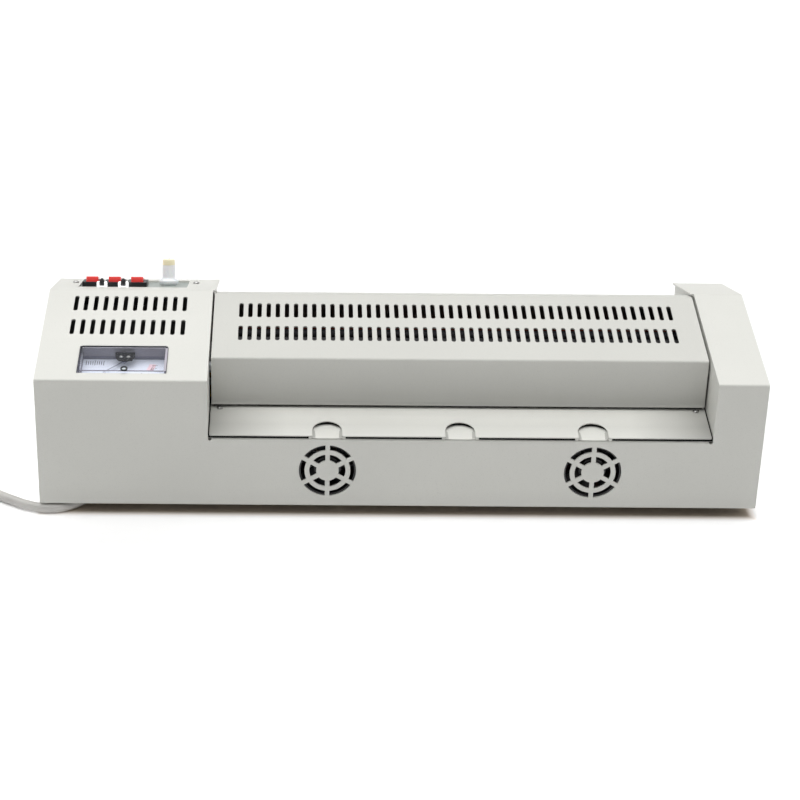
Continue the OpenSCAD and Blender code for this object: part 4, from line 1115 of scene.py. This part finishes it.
def screws():
    """Cross-head screws of the trays and the control plate, and the ones in the feet."""
    bm = bmesh.new()
    for x in (BAY_X0 + TRAY_SCREW_IN, BAY_X1 - TRAY_SCREW_IN):
        for side in (-1, 1):
            where = on_sheet(x, side * TRAY_SCREW_Y, tray_z(TRAY_SCREW_Y), -side * TRAY_RISE)
            screw_head(bm, where @ Matrix.Rotation(0.4 + x * side, 4, "Z"), 2.1, 1.3)
    for x in CONTROL_SCREW_XS:
        where = shifted(CONTROLS, x, 5) @ Matrix.Rotation(0.3 * x, 4, "Z")
        screw_head(bm, where, 2.3, 1.4)
    for x, y in FEET_AT:
        screw_head(bm, Matrix.Translation((x, y, 4)) @ Matrix.Rotation(math.pi, 4, "X"), 4, 2.4)
    settle(build("cross_head_screws", bm, "zinc_screw"), replaces=("case_screws",))


def feet():
    """Moulded rubber feet with a recess for their screws."""
    bm = bmesh.new()
    profile = [(4.9, 4), (4.9, 0.6), (5.3, 0.15), (6, 0), (8, 0), (8.7, 0.25), (9, 0.9), (8.8, 4.5),
               (8.6, FOOT_H - 0.6), (8.3, FOOT_H), (2.3, FOOT_H), (2.3, 4)]
    for x, y in FEET_AT:
        lathe(bm, profile, Matrix.Translation((x, y, 0)), closed=True)
    settle(build("moulded_feet", bm, "black_rubber"), replaces=("rubber_feet",))


# ---- Controls ----

def rocker_bezels():
    """Snap-in switch bodies with a rounded bezel."""
    bm, holes = bmesh.new(), bmesh.new()
    for x in ROCKER_XS:
        where = shifted(CONTROLS, x)
        extrude(bm, rounded_box(15, 21, 1.4), where, -SHEET, 2.2)
        extrude(holes, rounded_box(ROCKER_W + 0.4, 16, 0.6), where, -7, 4)
    shell = build("switch_bezels", bm, "black_plastic")
    bm = bmesh.new()
    for x in ROCKER_XS:
        where = shifted(CONTROLS, x)
        extrude(bm, rounded_box(12.8, 18.8, 0.5), where, -15, -SHEET + 0.2)
        for side in (-1, 1):
            extrude(bm, rounded_box(0.8, 4.8, 0.1), shifted(where, side * 3), -21, -14.5)
    carve(shell, bm, "UNION")
    carve(shell, holes)
    settle(soften(shell, 0.35, 3), replaces=("rocker_housings",))


def rocker(name, x, body, node_name):
    """Dished red rocker on its pivot, near end up."""
    tilt = -10
    top, sag, half = 5.1, 1.25, 7
    where = shifted(CONTROLS, x) @ turned(tilt, "X")
    dish = [(half * (1 - 2 * k / 14), top - sag * (1 - (1 - 2 * k / 14) ** 2)) for k in range(15)]
    bm = bmesh.new()
    outline = fillet([(-half, -2.4), (half, -2.4), *dish], [0.6, 0.6, 0.5] + [0] * 13 + [0.5], 3)
    extrude(bm, outline, where @ ALONG_X, -ROCKER_W / 2, ROCKER_W / 2)
    body_obj = build(name, bm, "red_plastic")
    settle(soften(body_obj, 0.35, 3), body, (node_name,))
    bm = bmesh.new()
    mark_y = 4.2
    mark_z = top - sag * (1 - (mark_y / half) ** 2)
    near = shifted(where, 0, -mark_y, mark_z)
    extrude(bm, rounded_box(0.6, 2.6, 0.25, 2), near, -0.3, 0.08)
    far = shifted(where, 0, mark_y, mark_z)
    lathe(bm, [(1.5, -0.3), (1.5, 0.08), (1, 0.08), (1, -0.3)], far, 24, closed=True)
    settle(build(name + "_marks", bm, "white_plastic"), body)


def lamps():
    """Two signal lamps: a black domed lens between the two white cheeks of its holder, which carry a painted
    glow.
    """
    rings, gaps, cores = bmesh.new(), bmesh.new(), bmesh.new()
    for first, last, shift in zip(ROCKER_XS, ROCKER_XS[1:], LAMP_SHIFTS):
        where = shifted(CONTROLS, (first + last) / 2 + shift, LAMP_V)
        lathe(rings, [(2.9, -8), (2.9, -SHEET), (4, -SHEET), (4, 2.2), (3.85, 2.9), (3.5, 3.35), (2.9, 3.5),
                      (2.2, 3.3)], where, 32)
        extrude(gaps, rounded_box(4, 12, 0.3), where, 0.35, 6)
        lathe(cores, [(1.7, -8), (1.7, -0.2), (1.95, 0.2), (1.95, 2.6), (1.8, 3.6), (1.45, 4.5), (1.15, 5.2),
                      (0.8, 5.75), (0.3, 5.95)], where, 24)
    holders = build("lamp_holders", rings, "holder_white_painted_glow")
    carve(holders, gaps)
    settle(soften(holders, 0.15), replaces=("lamp_lenses",))
    settle(build("lamp_domes", cores, "black_plastic"), replaces=("lamp_cores",))


def knob():
    """Fluted knob with a flared skirt, and its cream cap with a pointer line."""
    where = shifted(CONTROLS, *KNOB_AT)
    cap_w = 14

    def fluted(radius, height, angle):
        depth = 0.28 * min(1, max(0, (height - 3.6) / 1.5))
        return radius - depth * (0.5 - 0.5 * math.cos(18 * angle)) ** 2

    profile = [(3.4, 0.72), (6.9, 0.72), (7.25, 0.95), (7.4, 1.4), (7.4, 2.0), (7.2, 2.5), (6.6, 2.8),
               (5.9, 3.1), (5.3, 3.6), (4.95, 4.4), (4.85, 5.6), (4.8, cap_w - 0.5), (4.7, cap_w - 0.1),
               (4.3, cap_w)]
    grip = spun("speed_knob_body", "knob_plastic", profile, where, 144, fluted)
    settle(grip, "speed_knob", ("knob",))
    dome = [(4.65, 0.02), (4.65, 3.2), (4.45, 3.9), (4, 4.22), (2.6, 4.28), (1, 4.1)]
    cap = spun("speed_knob_cap", "cap_plastic", [(r, cap_w + h) for r, h in dome], where, 48)
    settle(cap, "speed_knob", ("knob_cap",))
    line = rounded_box(0.7, 3.2, 0.25, 2)
    pointer = slab("knob_pointer", "dial_ink", line, shifted(where, 0, 2.6), cap_w + 3.9, cap_w + 4.3)
    settle(pointer, "speed_knob")
    washer = [(5.25, -1.15), (5.5, -1.18), (6.3, -0.4), (7.1, 0.45), (6.9, 0.66), (5.25, 0.66)]
    settle(spun("knob_washer", "knob_plastic", washer, where, 56, closed=True))


# ---- Meter ----

def meter_window():
    """Clear box of the meter, rounded at its upper corners, with the zero screw near its lower edge."""
    u, v = METER_W / 2, METER_LEN / 2
    wall = 1.4
    outer = rounded_box(METER_W, METER_LEN, [0.6, 0.6, 2.2, 2.2])
    inner = rounded_box(METER_W - 2 * wall, METER_LEN - 2 * wall, [0.4, 0.4, 1.2, 1.2])
    bm, hollow = bmesh.new(), bmesh.new()
    extrude(bm, outer, METER, -7, 1.5)
    extrude(hollow, inner, METER, -8, 0.3)
    window = build("meter_glass", bm, "clear_lens")
    carve(window, hollow)
    settle(soften(window, 0.3, 2), replaces=("meter_window",))
    where = shifted(METER, *ZERO_SCREW_AT)
    # Painted shade: the black ring stands in for the shaded wall of the screw's recess.
    ring = [(2.3, 1.52), (2.5, 1.6), (2.5, 2.4), (2.35, 2.6), (1.8, 2.6), (1.7, 1.6)]
    settle(spun("zero_screw_shade_ring", "black_plastic", ring, where, 32))
    bm, cut = bmesh.new(), bmesh.new()
    lathe(bm, [(1.5, 1.61), (1.5, 1.85), (1.3, 2.0), (0.5, 2.05)], where, 28)
    extrude(cut, rounded_box(4, 0.5, 0.1, 1), where @ Matrix.Rotation(0.5, 4, "Z"), 1.85, 3)
    head = build("zero_screw", bm, "white_plastic")
    carve(head, cut)
    settle(head)
    bm = bmesh.new()
    # Painted shade: a dark rim in the gap round the window, and a dark strip along its left edge.
    skirt_out = [(-u - 0.28, -v), (-u - 0.28, v + 0.28), (u + 0.28, v + 0.28), (u + 0.28, -v)]
    skirt_in = [(u + 0.03, -v), (u + 0.03, v + 0.03), (-u - 0.03, v + 0.03), (-u - 0.03, -v)]
    extrude(bm, fillet(skirt_out + skirt_in, [0, 2.4, 2.4, 0, 0, 2.2, 2.2, 0]), METER, -1.3, 0.4)
    extrude(bm, fillet(rect(-u, -v + 0.2, -u + 0.7, v - 2.2), 0.2), METER, 1.52, 1.6)
    settle(build("window_gap_shade", bm, "gap_shade_grey"))
    step = rounded_box(METER_W - 3.2, 0.7, 0.2, 2)
    settle(slab("window_step", "case_plastic", step, shifted(METER, 0, -v + 2.6), -0.2, 0.25))
    # Painted light: a lighter strip on the window's far inner wall.
    liner = fillet(rect(-u + 1.5, v - 2.1, u - 1.5, v - 1.5), 0.25)
    settle(slab("far_wall_painted_light", "far_wall_light_grey", liner, METER, -6.9, 0.2))
    # Painted light: a light strip along the window's right edge, where its wall catches the light.
    side = fillet(rect(u - 1.5, -v + 0.2, u, v - 4.1), 0.3)
    settle(slab("lit_side_painted", "lit_side_grey", side, METER, 1.52, 1.62))


def dial():
    """Card with a printed scale: an arc, ticks, numbers and a coloured zone."""
    low_w, high_w = -10.8, -10
    card = slab("dial_plate", "dial_card", rounded_box(METER_W - 3.2, METER_LEN - 3.2, 1), METER, low_w, high_w)
    settle(soften(card, 0.1), replaces=("meter_dial",))
    pivot = shifted(METER, 0, PIVOT_V, high_w)
    scale_r, print_h = 17.5, 0.04

    def band(bm, r0, r1, first, last, steps):
        outline = arc(r1, first, last, steps) + arc(r0, last, first, steps)
        extrude(bm, outline, pivot, 0.005, print_h)

    bm = bmesh.new()
    band(bm, scale_r, scale_r + 0.3, 222, 318, 40)
    band(bm, 20.4, 20.7, 336, 354, 12)
    divisions = 40
    for k in range(divisions + 1):
        angle = 225 + 90 * k / divisions
        half = 0.3 if k % 8 else 0.5
        tick = 1.7 if k % 4 else 2.4 if k % 8 else 3.2
        band(bm, scale_r, scale_r + tick, angle - half, angle + half, 1)
    for k in range(9):
        angle = 337 + 2 * k
        band(bm, 20.4, 22.6 if k % 4 else 24, angle - 0.4, angle + 0.4, 1)
        stroke = rounded_box(0.4, 4.4 if k % 4 else 5.6, 0.1, 1)
        extrude(bm, stroke, shifted(METER, -27 + 1.55 * k, 9.8, high_w), 0.005, print_h)
    settle(build("dial_scale", bm, "dial_ink"))
    bm = bmesh.new()
    band(bm, 17.8, 22.6, 333, 356, 16)
    settle(build("dial_zone", bm, "dial_red"))
    for k in range(6):
        dial_number(str(k), pivot, scale_r + 5, 225 + 18 * k, print_h)


def dial_number(text, pivot, radius, angle, height):
    """A small number on the dial, upright, turned into a mesh."""
    data = bpy.data.curves.new("number", "FONT")
    data.body = text
    data.size = 2.6
    data.align_x = data.align_y = "CENTER"
    data.extrude = height / 2
    source = bpy.data.objects.new("number", data)
    SCENE.collection.objects.link(source)
    graph = bpy.context.evaluated_depsgraph_get()
    bm = bmesh.new()
    bm.from_mesh(source.evaluated_get(graph).to_mesh())
    bpy.data.objects.remove(source)
    turn = math.radians(angle)
    at = Matrix.Translation((radius * math.cos(turn), radius * math.sin(turn), height))
    bm.transform(pivot @ at)
    settle(build("dial_number_" + text, bm, "dial_ink"))


def boss():
    """Black half-round boss over the needle's pivot, with two screws."""
    where = shifted(METER, *BOSS_AT)
    outline = [(BOSS_R, 3.3), (-BOSS_R, 3.3), *arc(BOSS_R, 180, 360, 32)]
    bm = bmesh.new()
    extrude(bm, outline, where, -4.8, -3.5)
    for x in (-4, 4.6):
        lathe(bm, [(0.9, -10), (0.9, -4.7)], shifted(METER, x, 13.3), 16)
    lathe(bm, [(0.8, -10), (0.8, -4.7)], shifted(METER, 0, PIVOT_V), 16)
    settle(soften(build("pivot_boss", bm, "boss_black"), 0.4, 3), replaces=("meter_boss",))
    bm = bmesh.new()
    for x in (-2.6, 2.6):
        screw_head(bm, shifted(METER, x + 0.6, PIVOT_V - 1.9, -3.5), 1.35, 0.9)
    settle(build("boss_screws", bm, "zinc_screw"))


def needle():
    """Thin tapered needle with a short counterweight."""
    where = shifted(METER, 0, PIVOT_V) @ turned(NEEDLE_REST, "Z")
    bm = bmesh.new()
    outline = fillet([(-0.15, -NEEDLE_LEN), (0.15, -NEEDLE_LEN), (0.5, -2), (0.8, 3.2), (-0.8, 3.2),
                      (-0.5, -2)], 0.1, 2)
    extrude(bm, outline, where, -8.4, -8)
    lathe(bm, [(1.9, -8.9), (2.2, -8.7), (2.2, -7.5), (1.9, -7.25)], where, 28)
    settle(soften(build("needle_blade", bm, "needle_paint"), 0.08), "needle", ("meter_needle",))


# ---- Inner parts ----

INNER_FINISHES = {
    "zinc_sheet": ["base_plate", "left_frame_plate", "right_frame_plate", "motor_bracket"],
    "control_paint": ["control_plate"],
    "motor_steel": ["gear_motor", "potentiometer"],
    "dull_steel": ["tie_bars"],
    "steel_shaft": ["idler_pin", "drive_pinion", "knob_shaft", "lower_front_shaft", "upper_front_shaft",
                    "lower_rear_shaft", "upper_rear_shaft", "heater_rods"],
    "silicone": ["lower_front_sleeve", "upper_front_sleeve", "lower_rear_sleeve", "upper_rear_sleeve"],
    "gear_nylon": ["lower_front_gear", "upper_front_gear", "lower_rear_gear", "upper_rear_gear", "idler_gear"],
    "bronze": ["roller_bushes"],
    "shoe_aluminium": ["heating_shoes"],
    "black_plastic": ["thermal_cutouts", "board_parts", "fan_frames", "left_fan_rotor", "right_fan_rotor"],
    "case_plastic": ["meter_case"],
    "board_green": ["circuit_board"],
    "pin_brass": ["plug_pins"],
}


def finish_inner_parts():
    """Gives the CAD parts that stay their materials."""
    for material, names in INNER_FINISHES.items():
        for name in names:
            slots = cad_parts[name].data.materials
            slots.clear()
            slots.append(MATERIALS[material])


MATERIALS = make_materials()
make_camera()
lead = mains_lead()
gland, plug_body, strap = strain_relief(), plug(), coil_tie()
make_studio()
casing()
top_cover()
tray("infeed_tray_sheet", -1, NOTCHES, "infeed_tray")
tray("exit_tray_sheet", 1, [], "exit_tray")
seals()
thumb_recesses()
screws()
feet()
rocker_bezels()
for which, rocker_x in zip(("left", "middle", "right"), ROCKER_XS):
    rocker("rocker_cap_" + which, rocker_x, which + "_rocker", "rocker_" + which)
lamps()
knob()
meter_window()
dial()
boss()
needle()
finish_inner_parts()
